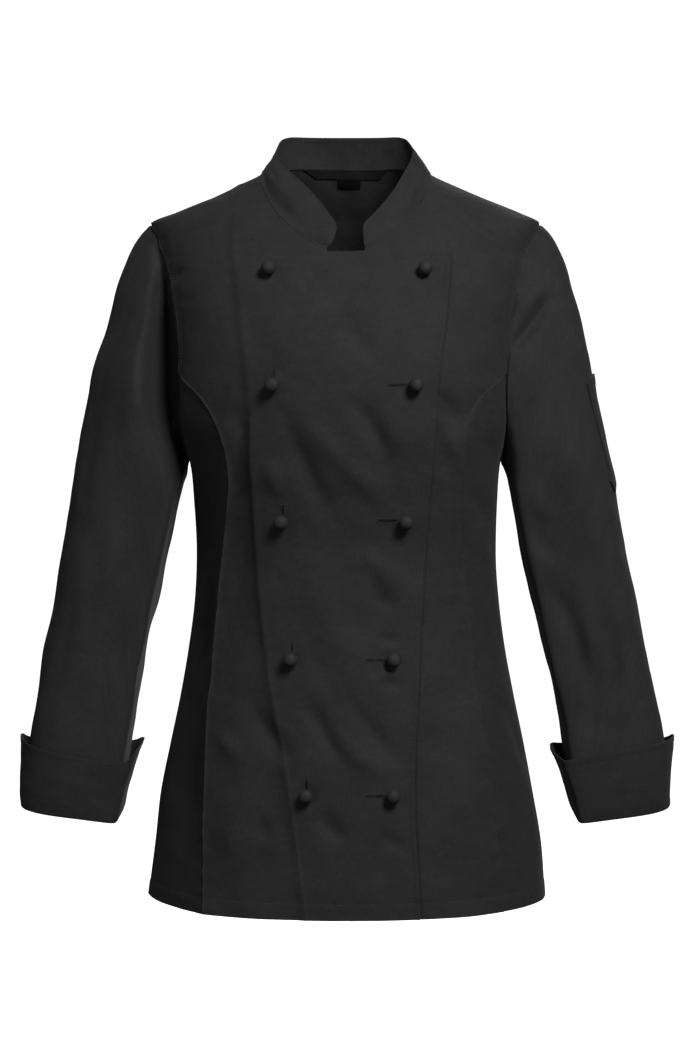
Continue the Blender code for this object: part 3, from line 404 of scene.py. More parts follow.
HEIGHTS = np.concatenate([
    HEM + (WAIST - HEM) * np.linspace(0, 1, LOWER_ROWS * 2 + 1) ** 1.12,
    np.linspace(WAIST, UNDERARM, WAIST_ROWS + 1)[1:],
    np.linspace(UNDERARM, PRINCESS_TOP, ARMHOLE_ROWS // 2 + 1)[1:],
    np.linspace(PRINCESS_TOP, LAP_TOP, ARMHOLE_ROWS // 2 + 11)[1:],
])
UNDERARM_ROW = int(np.argmin(np.abs(HEIGHTS - UNDERARM)))
PRINCESS_ROW = int(np.argmin(np.abs(HEIGHTS - PRINCESS_TOP)))
LAP_ROW = len(HEIGHTS) - 1
UPPER_SHARES = 1.0 - (1.0 - np.linspace(0, 1, UPPER_ROWS + 1)[1:]) ** 1.25
SIDE_NAMES = {-1: "right", 1: "left"}
STARTS = np.concatenate([[0], np.cumsum(MARK_CELLS)])
UNDERLAP_COLUMN = STARTS[2]
RIGHT_COLLAR_COLUMN = STARTS[3]
LEFT_COLLAR_COLUMN = STARTS[4]
OVERLAP_COLUMN = STARTS[5]


def armhole_across(side, height):
    """Signed distance of the armhole seam from the centre."""
    return side * read(ARMHOLE, SIDE_NAMES[side], height)


def outer_line(side, heights):
    """Princess seam up to the armhole, then the armhole."""
    princess = side * read(FRONT_LINES, "princess_" + SIDE_NAMES[side], heights)
    return np.where(heights < PRINCESS_TOP - 1e-6, princess, armhole_across(side, heights))


def front_columns(heights):
    """Lines down the whole front, wearer's right to left, and each one's station."""
    underlap = -read(FRONT_LINES, "underlap", heights)
    collar_end = np.full_like(heights, COLLAR_END)
    marks = [
        outer_line(-1, heights),
        underlap - RIDGE_FOOT,
        underlap,
        -collar_end,
        collar_end,
        read(FRONT_LINES, "overlap", heights),
        outer_line(1, heights),
    ]
    columns = []
    stations = []
    for number, cells in enumerate(MARK_CELLS):
        start, end = marks[number], marks[number + 1]
        shares = spaced(end - start, cells, *STEPPED_ENDS[number])[:, :-1]
        columns.append(start[:, None] + (end - start)[:, None] * shares)
        low, high = MARK_STATIONS[number:number + 2]
        stations.append(low + (high - low) * shares[-1])
    columns.append(marks[-1][:, None])
    stations.append([MARK_STATIONS[-1]])
    return np.concatenate(columns, axis=1), np.concatenate(stations)


def shoulder_line(side, stations):
    """The shoulder line: station 0 is its tip and 4 its neck end."""
    tip = read(ARMHOLE, SIDE_NAMES[side], SHOULDER_TIP)
    across = side * (tip + (NECK_SIDE - tip) * np.asarray(stations) / 4)
    heights = ridge_height(across)
    return across, np.where(np.abs(across) >= tip - 1e-6, SHOULDER_TIP, heights)


def front_top(side, stations):
    """Top edge of a front: shoulder line to station 4, then neckline to station 10."""
    shoulder_x, shoulder_z = shoulder_line(side, np.minimum(stations, 4))
    numbers = np.arange(4.0, 11.0)
    neck_x = np.concatenate([[NECK_SIDE], NECKLINE["across"]])
    neck_z = np.concatenate([[shoulder_line(side, np.array([4.0]))[1][0]], NECKLINE["height"]])
    past = np.maximum(stations, 4)
    across = np.where(stations > 4, side * smooth_read(past, numbers, neck_x), shoulder_x)
    return across, np.where(stations > 4, smooth_read(past, numbers, neck_z), shoulder_z)


def front_grid(side):
    """Across and height of a front's points, with NaN beyond its top edge."""
    columns, stations = front_columns(HEIGHTS)
    if side < 0:
        lower = columns[:, :OVERLAP_COLUMN + 1]
        carried = np.arange(RIGHT_COLLAR_COLUMN + 1)
        top_stations = stations[:RIGHT_COLLAR_COLUMN + 1]
    else:
        lower = columns[:, UNDERLAP_COLUMN:]
        carried = np.arange(LEFT_COLLAR_COLUMN - UNDERLAP_COLUMN, lower.shape[1])
        past = stations[LEFT_COLLAR_COLUMN:]
        top_stations = np.where(past < 18, 10 - (past - 12), 4 - (past - 18))
    top_x, top_z = front_top(side, top_stations)
    across = np.full((LAP_ROW + 1 + UPPER_ROWS, lower.shape[1]), np.nan)
    heights = np.full_like(across, np.nan)
    across[:LAP_ROW + 1] = lower
    heights[:LAP_ROW + 1] = HEIGHTS[:, None]
    start = lower[LAP_ROW, carried]
    rows = slice(LAP_ROW + 1, None)
    across[rows, carried] = start + (top_x - start) * UPPER_SHARES[:, None]
    heights[rows, carried] = LAP_TOP + (top_z - LAP_TOP) * UPPER_SHARES[:, None]
    edge = 0 if side < 0 else -1
    across[rows, edge] = armhole_across(side, heights[rows, edge])
    return across, heights


def along_rows(points):
    """Distance walked along each row of a grid from its first column."""
    steps = np.linalg.norm(np.diff(points, axis=1), axis=2)
    return np.concatenate([np.zeros((len(points), 1)), np.cumsum(steps, axis=1)], axis=1)


def along_columns(points):
    """Distance walked along each column of a grid from its first row."""
    return along_rows(points.transpose(1, 0, 2)).T


def along_line(points):
    """Distance walked along one line of points from its first."""
    return along_rows(points[None])[0]


def seam_relief(distance, along, seed, stitched=True):
    """The cloth beside a seam, at a distance from it.

    It sinks into the seam, with small uneven puckers, A sin(phase) exp(-d / 9 mm). On the
    topstitched side a rounded fold stands up over the allowance and dips at the stitches.
    """
    random = np.random.default_rng(seed)
    phase = along * 2 * math.pi / PUCKER_PITCH + 1.3 * np.sin(along * 47 + random.uniform(0, 6))
    uneven = 0.5 + 0.5 * np.sin(along * 31 + random.uniform(0, 6))
    pucker = 0.00035 * uneven * np.sin(phase) * np.exp(-distance / 0.009)
    sunk = rise(distance, *SEAM_VALLEY) + pucker
    if not stitched:
        return sunk
    fold = rise(distance, *SEAM_ROLL) + rise(distance, *SEAM_DIP)
    return sunk + layer(distance, *SEAM_ALLOWANCE) + fold


def hem_relief(height):
    """The turned hem: twice the cloth up to its stitch line, with a dip there."""
    return layer(height - HEM, *HEM_LAYER) + rise(height - HEM, *HEM_DIP)


def held_by_studs(points):
    """How free the cloth is to crease: none within a stud's reach, all beyond it."""
    free = np.ones(points.shape[:-1])
    for row, height in enumerate(BUTTONS["height"]):
        for side, word in SIDE_NAMES.items():
            apart = np.hypot(points[..., 0] - side * BUTTONS[word][row], points[..., 2] - height)
            free = np.minimum(free, ease(apart, *STUD_HOLD))
    return free


def torso_relief(points, normals):
    """Creases, slack and hem that the fronts and side panels share."""
    facing = ease(-normals[..., 1], *EDGE_ON)
    creases = crease_height(points, FRONT_CREASES)
    loose = slack(points, 11, 1, TORSO_SLACK)
    return (creases + loose) * facing * held_by_studs(points) + hem_relief(points[..., 2])


# How far the right front falls back between its princess seam and the underlap's edge.
PRINCESS_HOLLOW = table("height depth", [
    (-0.695, 0.0008),
    (-0.600, 0.0012),
    (-0.500, 0.0030),
    (-0.420, 0.0042),
    (-0.330, 0.0040),
    (-0.260, 0.0028),
    (-0.215, 0.0006),
    (-0.170, 0.0000),
    (-0.079, 0.0000),
])


def lean_in(walked, station):
    """A hollow across a strip: sin(pi s) of the share s between its two edges, 0 beyond."""
    ahead = np.maximum(-station, 0.0)
    share = walked / np.maximum(walked + ahead, 1e-6)
    return np.where(station < 0, np.sin(math.pi * np.clip(share, 0.0, 1.0)), 0.0)


def front_surface(side):
    """Outer points and outward directions of one front, and which points it has."""
    across, heights = front_grid(side)
    present = ~np.isnan(across)
    across = np.where(present, across, 0.0)
    heights = np.where(present, heights, HEM)
    points, normals = on_torso(across, heights, -1)
    relief = torso_relief(points, normals)
    walked = along_rows(points)
    distance = walked if side < 0 else walked[:, -1:] - walked
    relief += seam_relief(distance, heights, 21 + side)
    tall = along_columns(points)
    neck = (heights > LAP_TOP) & (np.abs(across) < NECK_SIDE + 0.004)
    relief += neck * rise(tall[-1:] - tall, *NECK_BEAD)
    level = np.minimum(heights, LAP_TOP)
    below = layer(heights, *LAP_LAYER)
    if side < 0:
        station = across + read(FRONT_LINES, "underlap", level)
        over = ease(station, -RIDGE_FOOT - 0.002, 0.0)
        relief += rise(station, *FACING_RIDGE)
        relief += over * (below * (WALL + GAP) + (1 - below) * FACING)
        top = np.where(across > -COLLAR_END, LAP_TOP - heights, 1.0)
        free = np.maximum(walked[:, OVERLAP_COLUMN:] - walked, 0.0)
        free[LAP_ROW + 1:] = 1.0
        for distance, thick in ((top, 0.0004), (free, 0.0003)):
            relief += layer(distance, thick, *EDGE_LAYER)
        relief += rise(free, *OVERLAP_BEAD) + rise(free, *OVERLAP_DIP)
        hollow = read(PRINCESS_HOLLOW, "depth", level) * ease(-station, 0.0, 0.004)
        relief -= hollow * lean_in(walked, station)
    else:
        beside = across - read(FRONT_LINES, "overlap", level)
        relief += below * rise(beside, *UNDERLAP_DIP)
    return points + normals * relief[..., None], normals, present


def grid_normals(points):
    """Directions across a grid's two slopes."""
    return unit(np.cross(np.gradient(points, axis=1), np.gradient(points, axis=0)))


def linear(hex_colour):
    """Linear colour of an sRGB hex colour, opaque."""
    parts = [int(hex_colour[place:place + 2], 16) / 255 for place in (1, 3, 5)]
    return [p / 12.92 if p <= 0.04045 else ((p + 0.055) / 1.055) ** 2.4 for p in parts] + [1.0]


def finish(node, **links):
    """Set a node's sockets: a link is a socket, anything else is a plain value.

    A socket is named by its words, or by an underscore and its number.
    """
    for name, value in links.items():
        numbered = name[1:].isdigit()
        socket = node.inputs[int(name[1:]) if numbered else name.replace("_", " ")]
        if isinstance(value, bpy.types.NodeSocket):
            node.id_data.links.new(value, socket)
        else:
            socket.default_value = value


def add(tree, kind, settings=None, **links):
    """Add a node with its settings and links."""
    node = tree.nodes.new("ShaderNode" + kind)
    for name, value in (settings or {}).items():
        setattr(node, name, value)
    finish(node, **links)
    return node


def new_material(name):
    """An empty material with its shader and output, and the tree they are in."""
    made = bpy.data.materials.new(name)
    made.use_nodes = True
    tree = made.node_tree
    tree.nodes.clear()
    shader = add(tree, "BsdfPrincipled")
    add(tree, "OutputMaterial", Surface=shader.outputs["BSDF"])
    return made, tree, shader


def twill_material():
    """Cotton twill, piece dyed: matt black with fine diagonal lines and faint uneven dye.

    A noise's scale is one over its size in metres: slubs of 1.1 mm along the warp, raised
    fibres of 4 mm, streaks of 7 mm and uneven dye of 45 mm.
    """
    made, tree, shader = new_material("cotton twill")
    place = add(tree, "UVMap", {"uv_map": "cut"}).outputs["UV"]
    turned = add(tree, "Mapping", Vector=place, Rotation=(0, 0, math.radians(63)))
    lines = add(tree, "TexWave", {"bands_direction": "X"},
                Vector=turned.outputs[0], Scale=TWILL_SCALE, Distortion=1.2, Detail=2.0,
                Detail_Scale=2.0)
    stretch = add(tree, "Mapping", Vector=place, Scale=(1.0, 0.16, 1.0))
    slubs = add(tree, "TexNoise", Vector=stretch.outputs[0], Scale=900.0,
                Detail=3.0, Roughness=0.6)
    wear = add(tree, "TexNoise", Vector=place, Scale=22.0, Detail=5.0,
               Roughness=0.62)
    fuzz = add(tree, "TexNoise", Vector=place, Scale=260.0, Detail=4.0,
               Roughness=0.7)
    flat = add(tree, "Mapping", Vector=place, Scale=(0.45, 1.5, 1.0))
    streaks = add(tree, "TexNoise", Vector=flat.outputs[0], Scale=140.0,
                  Detail=4.0, Roughness=0.65)
    mixed = add(tree, "Math", {"operation": "MULTIPLY_ADD"},
                _0=lines.outputs["Fac"], _1=0.30, _2=slubs.outputs["Fac"])
    toned = add(tree, "Math", {"operation": "MULTIPLY_ADD"},
                _0=wear.outputs["Fac"], _1=0.7, _2=mixed.outputs[0])
    worn = add(tree, "Math", {"operation": "MULTIPLY_ADD"},
               _0=streaks.outputs["Fac"], _1=0.65, _2=toned.outputs[0])
    share = add(tree, "MapRange", Value=worn.outputs[0], From_Min=0.88,
                From_Max=1.78)
    colour = add(tree, "Mix", {"data_type": "RGBA"}, Factor=share.outputs[0],
                 A=linear("#171718"), B=linear("#2b2b2c"))
    first = add(tree, "Bump", Strength=0.28, Distance=0.00035,
                Height=mixed.outputs[0])
    second = add(tree, "Bump", Strength=0.35, Distance=0.0009,
                 Height=fuzz.outputs["Fac"], Normal=first.outputs[0])
    finish(shader, Base_Color=colour.outputs["Result"], Normal=second.outputs[0], Roughness=0.86,
           Sheen_Weight=0.04, Sheen_Roughness=0.45, Specular_IOR_Level=0.32)
    return made


TWILL_PITCH = 0.0012    # twice the real pitch of the twill lines, which is too fine to show
TWILL_SCALE = math.pi / 10 / TWILL_PITCH
twill = twill_material()


def new_mesh(name, points, faces):
    """A smooth mesh from points and faces."""
    mesh = bpy.data.meshes.new(name)
    mesh.from_pydata(points.reshape(-1, 3), [], faces)
    mesh.shade_smooth()
    return mesh


def new_piece(name, mesh, material):
    """Put a finished mesh in the scene as a piece of the jacket."""
    mesh.materials.append(material)
    made = bpy.data.objects.new(name, mesh)
    bpy.context.scene.collection.objects.link(made)
    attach(made, "root")
    return made


def cell_corners(grid):
    """The four corners of every cell of a grid, in order round it."""
    return np.stack([grid[:-1, :-1], grid[:-1, 1:], grid[1:, 1:], grid[1:, :-1]], axis=-1)


def shell(name, outer, inner, uv, present=None, closed=False, held="hung", rests_on=(),
          turned=(0.0, 0.0), material=twill, slot="twill"):
    """A wall of cloth between two grids of points, with a rim along every open edge.

    On a closed grid the last column repeats the first, and shares its corners with it. The
    cut is what shows, measured over the grid. The turned edges it is given are not used.
    """
    shape = outer.shape[:2]
    grid = np.arange(shape[0] * shape[1]).reshape(shape)
    place = grid.copy()
    if closed:
        place[:, -1] = place[:, 0]
    present = np.ones(shape, bool) if present is None else present
    cells = cell_corners(grid)[cell_corners(present).all(axis=-1)]
    outer = outer.reshape(-1, 3)
    inner = inner.reshape(-1, 3)
    sample = cells[len(cells) // 2]
    facing = np.cross(outer[sample[2]] - outer[sample[0]], outer[sample[3]] - outer[sample[1]])
    if facing @ (outer[sample[0]] - inner[sample[0]]) < 0:
        cells = cells[:, ::-1]
    quads = place.ravel()[cells]
    used, skin = np.unique(quads, return_inverse=True)
    skin = skin.reshape(quads.shape)
    count = len(used)
    starts, ends = skin.ravel(), np.roll(skin, -1, axis=1).ravel()
    keys = np.minimum(starts, ends) * count + np.maximum(starts, ends)
    _, first, times = np.unique(keys, return_index=True, return_counts=True)
    open_edges = first[times == 1]
    a, b = starts[open_edges], ends[open_edges]
    rims = np.stack([b, a, a + count, b + count], axis=1)
    faces = np.concatenate([skin, skin[:, ::-1] + count, rims])
    mesh = new_mesh(name, np.concatenate([outer[used], inner[used]]), faces)
    spread = uv.reshape(-1, 2)
    cell_uv = spread[cells]
    edge_a = cells.ravel()[open_edges]
    edge_b = np.roll(cells, -1, axis=1).ravel()[open_edges]
    rim_uv = spread[np.stack([edge_b, edge_a, edge_a, edge_b], axis=1)]
    layer = mesh.uv_layers.new(name="cut")
    every = np.concatenate([cell_uv, cell_uv[:, ::-1], rim_uv])
    layer.data.foreach_set("uv", every.astype(np.float32).ravel())
    mesh.set_sharp_from_angle(angle=math.radians(60))
    made = new_piece(name, mesh, material)
    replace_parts(made, name)


def cut_uv(points):
    """Metres along the weft and the warp, measured over the grid."""
    u = along_rows(points)
    u = u - u[:, [u.shape[1] // 2]]
    return np.stack([u, along_columns(points)], axis=-1)


FIRST, LAST = (0, 1), (-1, -2)      # an edge of a grid and the line beside it


def pressed(points, *edges):
    """A grid with each edge, given by its axis and line, pressed half way into its seam."""
    outer = points.copy()
    for axis, (edge, beside) in edges:
        moved, kept = np.moveaxis(outer, axis, 0), np.moveaxis(points, axis, 0)
        moved[edge] -= unit(kept[beside] - kept[edge]) * SEAM_PRESS / 2
    return outer


def panel(name, points, normals, present=None, edges=(), wall=WALL, **how):
    """One piece of cloth inwards of its outer points, with its edges pressed into seams."""
    outer = pressed(points, *edges)
    if present is not None:
        outer = np.where(present[..., None], outer, points)
    shell(name, outer, outer - normals * wall, cut_uv(points), present, **how)
    return outer, normals


right_front = panel("front_right", *front_surface(-1), edges=[(1, FIRST), (0, LAST)])
left_front = panel("front_left", *front_surface(1), edges=[(1, LAST), (0, LAST)])


# The two side panels of the front, from the princess seam round to the side seam: narrow
# pieces of the same twill, sewn in below the armholes.

SIDE_CELLS = 30
SIDE_HOLLOW = {-1: -0.0100, 1: -0.0020}     # each panel falls back behind its princess seam


def side_surface(side):
    """Outer points and outward directions of a side panel, side seam to princess seam."""
    heights = HEIGHTS[:PRINCESS_ROW + 1]
    princess = np.abs(outer_line(side, heights))
    armhole = np.abs(armhole_across(side, heights))
    power = read(FORM, "squareness", heights)
    width = read(FORM, SIDE_NAMES[side], heights)
    outer_share = np.where(heights <= UNDERARM + 1e-6, 1.0, armhole / width)
    start = np.arcsin(np.clip(outer_share, 0, 1) ** (power / 2))
    end = np.arcsin(np.clip(princess / width, 0, 1) ** (power / 2))
    turn = start[:, None] + (end - start)[:, None] * crowded(SIDE_CELLS)
    across = side * width[:, None] * np.sin(turn) ** (2 / power[:, None])
    points, normals = on_torso(across, np.broadcast_to(heights[:, None], across.shape), -1)
    walked = along_rows(points)
    relief = torso_relief(points, normals)
    relief += seam_relief(walked[:, -1:] - walked, heights[:, None], 21 + side, False)
    relief += rise(walked, *PLAIN_SEAM)
    share = np.clip(1.0 - walked / np.maximum(walked[:, -1:], 1e-9), 0.0, 1.0)
    low = ease(-heights[:, None], -PRINCESS_TOP, 0.36)
    relief += SIDE_HOLLOW[side] * low * np.sin(math.pi * share ** 0.8)
    return points + normals * relief[..., None], normals


side_panels = [
    panel("side_front_" + SIDE_NAMES[side], *side_surface(side), edges=[(1, FIRST), (1, LAST)])
    for side in SIDE_NAMES
]


# The back: one wide piece of twill, from side seam to side seam and hem to neck.

NECK_BACK = 0.008       # height of the neckline at the centre back
YOKE_DROP = 0.0420
BACK_CELLS = 44         # columns from each shoulder tip to the neck, and from there in
BACK_NECK_CELLS = 36
BACK_FOLDS = [
    (-0.110, -0.180, -0.040, -0.330, 0.020, 0.0030),
    (0.115, -0.190, 0.045, -0.340, 0.020, 0.0028),
    (-0.070, -0.380, -0.095, -0.670, 0.020, 0.0032),
    (0.065, -0.390, 0.100, -0.670, 0.020, 0.0030),
    (0.005, -0.430, -0.010, -0.680, 0.024, 0.0026),
    (-0.125, -0.330, -0.050, -0.360, 0.014, 0.0018),
]

# Creases of the back, as in the table for the fronts.
BACK_CREASES = [
    (-0.140, -0.185, -0.105, -0.228, -0.085, -0.290, 0.010, -0.0044),
    (0.142, -0.200, 0.112, -0.236, 0.092, -0.300, 0.010, -0.0047),
    (-0.060, -0.110, -0.020, -0.128, 0.030, -0.122, 0.011, -0.0026),
    (-0.020, -0.200, 0.010, -0.262, 0.014, -0.330, 0.010, -0.0036),
    (0.040, -0.180, 0.044, -0.240, 0.030, -0.300, 0.012, 0.0033),
    (-0.090, -0.330, -0.040, -0.352, 0.010, -0.348, 0.009, -0.004),
    (-0.020, -0.372, 0.040, -0.386, 0.095, -0.372, 0.009, -0.0044),
    (-0.110, -0.395, -0.060, -0.409, -0.015, -0.402, 0.009, 0.0033),
    (0.030, -0.345, 0.080, -0.352, 0.125, -0.338, 0.009, 0.0033),
    (-0.045, -0.430, -0.060, -0.500, -0.052, -0.575, 0.010, -0.0044),
    (0.035, -0.450, 0.048, -0.520, 0.042, -0.600, 0.010, -0.0047),
    (-0.120, -0.470, -0.134, -0.540, -0.131, -0.630, 0.012, -0.004),
    (0.118, -0.440, 0.134, -0.520, 0.140, -0.620, 0.012, -0.0036),
    (0.080, -0.560, 0.086, -0.600, 0.082, -0.650, 0.009, 0.0026),
]


def back_surface():
    """Outer points and outward directions of the back, wearer's right to left."""
    tips_in = crowded(BACK_CELLS) * 4
    right_x, right_z = shoulder_line(-1, tips_in)
    left_x, left_z = shoulder_line(1, tips_in)
    inner = np.linspace(-NECK_SIDE, NECK_SIDE, BACK_NECK_CELLS * 2 + 1)[1:-1]
    inner_z = NECK_BACK * (1.0 - (inner / NECK_SIDE) ** 4)
    top_x = np.concatenate([right_x, inner, left_x[::-1]])
    top_z = np.concatenate([right_z, inner_z, left_z[::-1]])
    tips = np.where(top_x < 0, -top_x[0], top_x[-1])
    turn = np.arcsin(np.clip(top_x / tips, -1.0, 1.0))
    heights = HEIGHTS[:, None]
    power = read(FORM, "squareness", heights)
    climb = np.clip((heights - UNDERARM) / (LAP_TOP - UNDERARM), 0.0, 1.0)
    open_side = heights > UNDERARM + 1e-6
    arm = np.maximum(heights, UNDERARM)
    right = np.where(open_side, -armhole_across(-1, arm), read(FORM, "right", heights))
    left = np.where(open_side, armhole_across(1, arm), read(FORM, "left", heights))
    reach = np.where(turn < 0, right, left)
    wrapped = np.sign(turn) * np.sin(np.abs(turn)) ** (2 / power)
    lower_x = reach * (wrapped + (top_x / tips - wrapped) * climb)
    neckward = np.clip((top_z - top_z[0]) / (top_z.max() - top_z[0]), 0.0, 1.0) ** 0.5
    at_neck = 1.0 - YOKE_DROP / (top_z.max() - LAP_TOP) * (1.0 - UPPER_SHARES)
    shares = UPPER_SHARES[:, None] + (at_neck - UPPER_SHARES)[:, None] * neckward * 0.3
    shares[-1] = 1.0
    upper_z = LAP_TOP + (top_z - LAP_TOP) * shares
    upper_x = lower_x[-1] + (top_x - lower_x[-1]) * shares
    upper_x[:, 0] = armhole_across(-1, upper_z[:, 0])
    upper_x[:, -1] = armhole_across(1, upper_z[:, -1])
    across = np.concatenate([lower_x, upper_x])
    height = np.concatenate([np.broadcast_to(heights, lower_x.shape), upper_z])
    points, normals = on_torso(across, height, 1)
    walked = along_rows(points)
    nearest = np.minimum(walked, walked[:, -1:] - walked)
    facing = ease(normals[..., 1], *EDGE_ON)
    relief = crease_height(points, BACK_CREASES) + slack(points, 31, 1, TORSO_SLACK)
    relief = relief * facing + hem_relief(height) + rise(nearest, *PLAIN_SEAM)
    return points + normals * relief[..., None], normals


back_points, back_normals = back_surface()
back = panel("back", back_points, back_normals, edges=[(1, FIRST), (1, LAST), (0, LAST)])


# The stand collar: two layers of twill turned and topstitched, open at the front, with
# rounded ends that lean apart.

COLLAR_WALL = 0.0014
COLLAR_CROWN = 0.0012
COLLAR_ROWS = 30
COLLAR_ALLOWANCE = 0.0012   # the collar's seam allowance, tucked behind the neckline
COLLAR_EDGE = table("share right left along height", [
    (0.000, 0.0000, 0.0000, 0.0490, 0.0375),
    (0.100, 0.0245, 0.0245, 0.0480, 0.0375),
    (0.180, 0.0400, 0.0390, 0.0450, 0.0375),
    (0.280, 0.0560, 0.0535, 0.0370, 0.0366),
    (0.360, 0.0632, 0.0602, 0.0270, 0.0322),
    (0.435, 0.0668, 0.0640, 0.0150, 0.0225),
    (0.520, 0.0640, 0.0615, 0.0030, 0.0120),
    (0.610, 0.0570, 0.0575, -0.0110, 0.0040),
    (0.680, 0.0481, 0.0530, -0.0240, -0.0045),
    (0.745, 0.0370, 0.0470, -0.0390, -0.0155),
    (0.810, 0.0255, 0.0375, -0.0540, -0.0290),
    (0.872, 0.0160, 0.0265, -0.0670, -0.0420),
    (0.940, 0.0085, 0.0160, -0.0775, -0.0555),
    (1.000, 0.0122, 0.0165, -0.0832, -0.0700),
])

# Dented folds of the collar: share round it and reach, height up it at both ends of the
# fold, half width and depth.
COLLAR_FOLDS = [
    (-0.665, 0.150, 0.15, 0.22, 0.170, 0.0078),
    (-0.590, 0.060, 0.54, 0.50, 0.100, 0.0022),
    (0.560, 0.060, 0.30, 0.50, 0.160, 0.0022),
    (0.760, 0.080, 0.42, 0.30, 0.140, 0.0016),
]
COLLAR_BOW = (0.0018, 0.70, 0.09)   # a wide bow beside the last fold: depth, share and reach
COLLAR_DIP = (-0.0003, 0.003, 0.0009)


def neckline():
    """Neckline from the wearer's right collar end, round the back, to the left one."""
    shoulder = int(np.argmin(np.abs(front_columns(HEIGHTS)[1] - 4)))
    right = front_surface(-1)[0][-1, shoulder:RIGHT_COLLAR_COLUMN + 1]
    left = front_surface(1)[0][-1, LEFT_COLLAR_COLUMN - UNDERLAP_COLUMN:]
    left = left[:int(OVERLAP_COLUMN - LEFT_COLLAR_COLUMN) + 1]
    inner = back_points[-1, BACK_CELLS + 1:-BACK_CELLS - 1]
    return np.concatenate([right[::-1], inner, left[::-1]])


def collar_surface():
    """Outer points: lines from the neckline to the free edge, crowned and a little dented."""
    seam = neckline()
    reached = along_line(seam)
    middle = np.interp(0.0, np.arange(len(seam)) - len(seam) // 2, reached)
    share = (reached - middle) / np.where(reached < middle, middle, reached[-1] - middle)
    place = np.abs(share)
    right, left, along, height = (
        read(COLLAR_EDGE, column, place, by="share") for column in ("right", "left", "along", "height"))
    edge = np.stack([np.where(share < 0, -right, left), along, height], axis=1)
    base = seam - unit(edge - seam) * COLLAR_ALLOWANCE
    up = np.linspace(0.0, 1.0, COLLAR_ROWS)[:, None]
    points = base + (edge - base) * up[..., None]
    crown = np.sin(up * math.pi) * COLLAR_CROWN
    dent = np.zeros(np.broadcast(share, up).shape)
    for at, reach, low_up, high_up, half, depth in COLLAR_FOLDS:
        past = np.clip((place - abs(at) + reach) / (2 * reach), 0.0, 1.0)
        line = low_up + (high_up - low_up) * past
        along = np.exp(-((share - at) / reach) ** 4)
        dent = dent - along * rise(up, depth, line, half) * ease(up, 0.0, 0.06)
    dent = dent - rise(share, *COLLAR_BOW) * np.sin(up * math.pi)
    rim = along_columns(points)
    free = rim[-1] - rim
    topstitch = rise(free, *COLLAR_DIP)
    points = points - grid_normals(points) * (crown + dent + topstitch)[..., None]
    return points, -grid_normals(points)


collar = panel("collar", *collar_surface(), wall=COLLAR_WALL)


# The sleeves: one piece of twill each, sewn into the armhole with a little fullness over
# the cap, and down to the inner leg of the turned cuff.

UNDERARM_STEP = 0.0005
SLEEVE_SPACING = 3.1        # how the columns spread over the front of a sleeve
# Squareness of the inner and outer side: 2 would be an ellipse, and a hanging sleeve is flat
# in front as far as its inner fold.
SLEEVE_SQUARENESS = (12.0, 2.5)
CUFF_HEIGHT = 0.067
CUFF_LEG = 0.012
SLEEVE_LENGTH = 0.333   # underarm section to the fold of the cuff
SLEEVE_NARROWING = 0.0037
CAP_OUT = (0.34, 0.95)  # how the sleeve leaves the seam: underarm, shoulder
CAP_DOWN = (0.90, 0.34)
CAP_REACH = (0.42, 0.44)
CAP_ALONG = 0.22
CAP_ARRIVAL = 0.50
CAP_SEAM = (-0.0004, 0.0, 0.0014)       # the dip at the armhole, and the allowance beside it
CAP_ALLOWANCE = (0.0004, 0.004, 0.002)
CAP_PUCKER = 0.0007
SLEEVE_SLACK = ((0.075, 0.0011), (0.034, 0.0005), (0.016, 0.00013))
CAP_ROWS = 52
CAP_CROWDING = 1.35     # how much closer the rows run beside the armhole
ARM_ROWS = 118
ARM_SETTLE = 0.10
SLEEVE_FOLD_SHIFT = 0.012
SLEEVE_FOLD_CHANGE = 0.25
CUFF_SETTLE = 0.030

# Sections down the sleeve: where the outer and inner lines run on each arm, and the middle
# and half depth of the section.
SLEEVE = table("down outer_right outer_left inner_right inner_left outer_height inner_height "
               "middle half_depth", [
    (0.000, 0.2597, 0.2521, 0.1594, 0.1575, -0.2810, -0.2995, 0.006, 0.0620),
    (0.083, 0.2736, 0.2689, 0.1767, 0.1747, -0.3620, -0.3800, 0.006, 0.0580),
    (0.150, 0.2838, 0.2827, 0.1897, 0.1883, -0.4270, -0.4450, 0.002, 0.0540),
    (0.219, 0.2957, 0.2970, 0.2023, 0.2037, -0.4940, -0.5120, -0.004, 0.0500),
    (0.264, 0.3027, 0.3048, 0.2095, 0.2110, -0.5375, -0.5550, -0.008, 0.0480),
    (0.333, 0.3125, 0.3115, 0.2167, 0.2200, -0.6050, -0.6170, -0.010, 0.0475),
])

# Broad folds of the sleeves: place down the sleeve and round it (degrees, 0 outer, 90
# front), half length down and half width round, and height.
SLEEVE_FOLDS = [
    (0.020, 118.0, 0.060, 26.0, -0.0045),
    (0.105, 62.0, 0.090, 22.0, 0.0035),
    (0.140, 140.0, 0.040, 24.0, -0.0035),
    (0.185, 100.0, 0.070, 20.0, -0.0030),
    (0.120, 250.0, 0.080, 26.0, 0.0035),
    (0.160, 205.0, 0.045, 24.0, -0.0035),
    (0.060, 300.0, 0.070, 24.0, -0.0030),
]

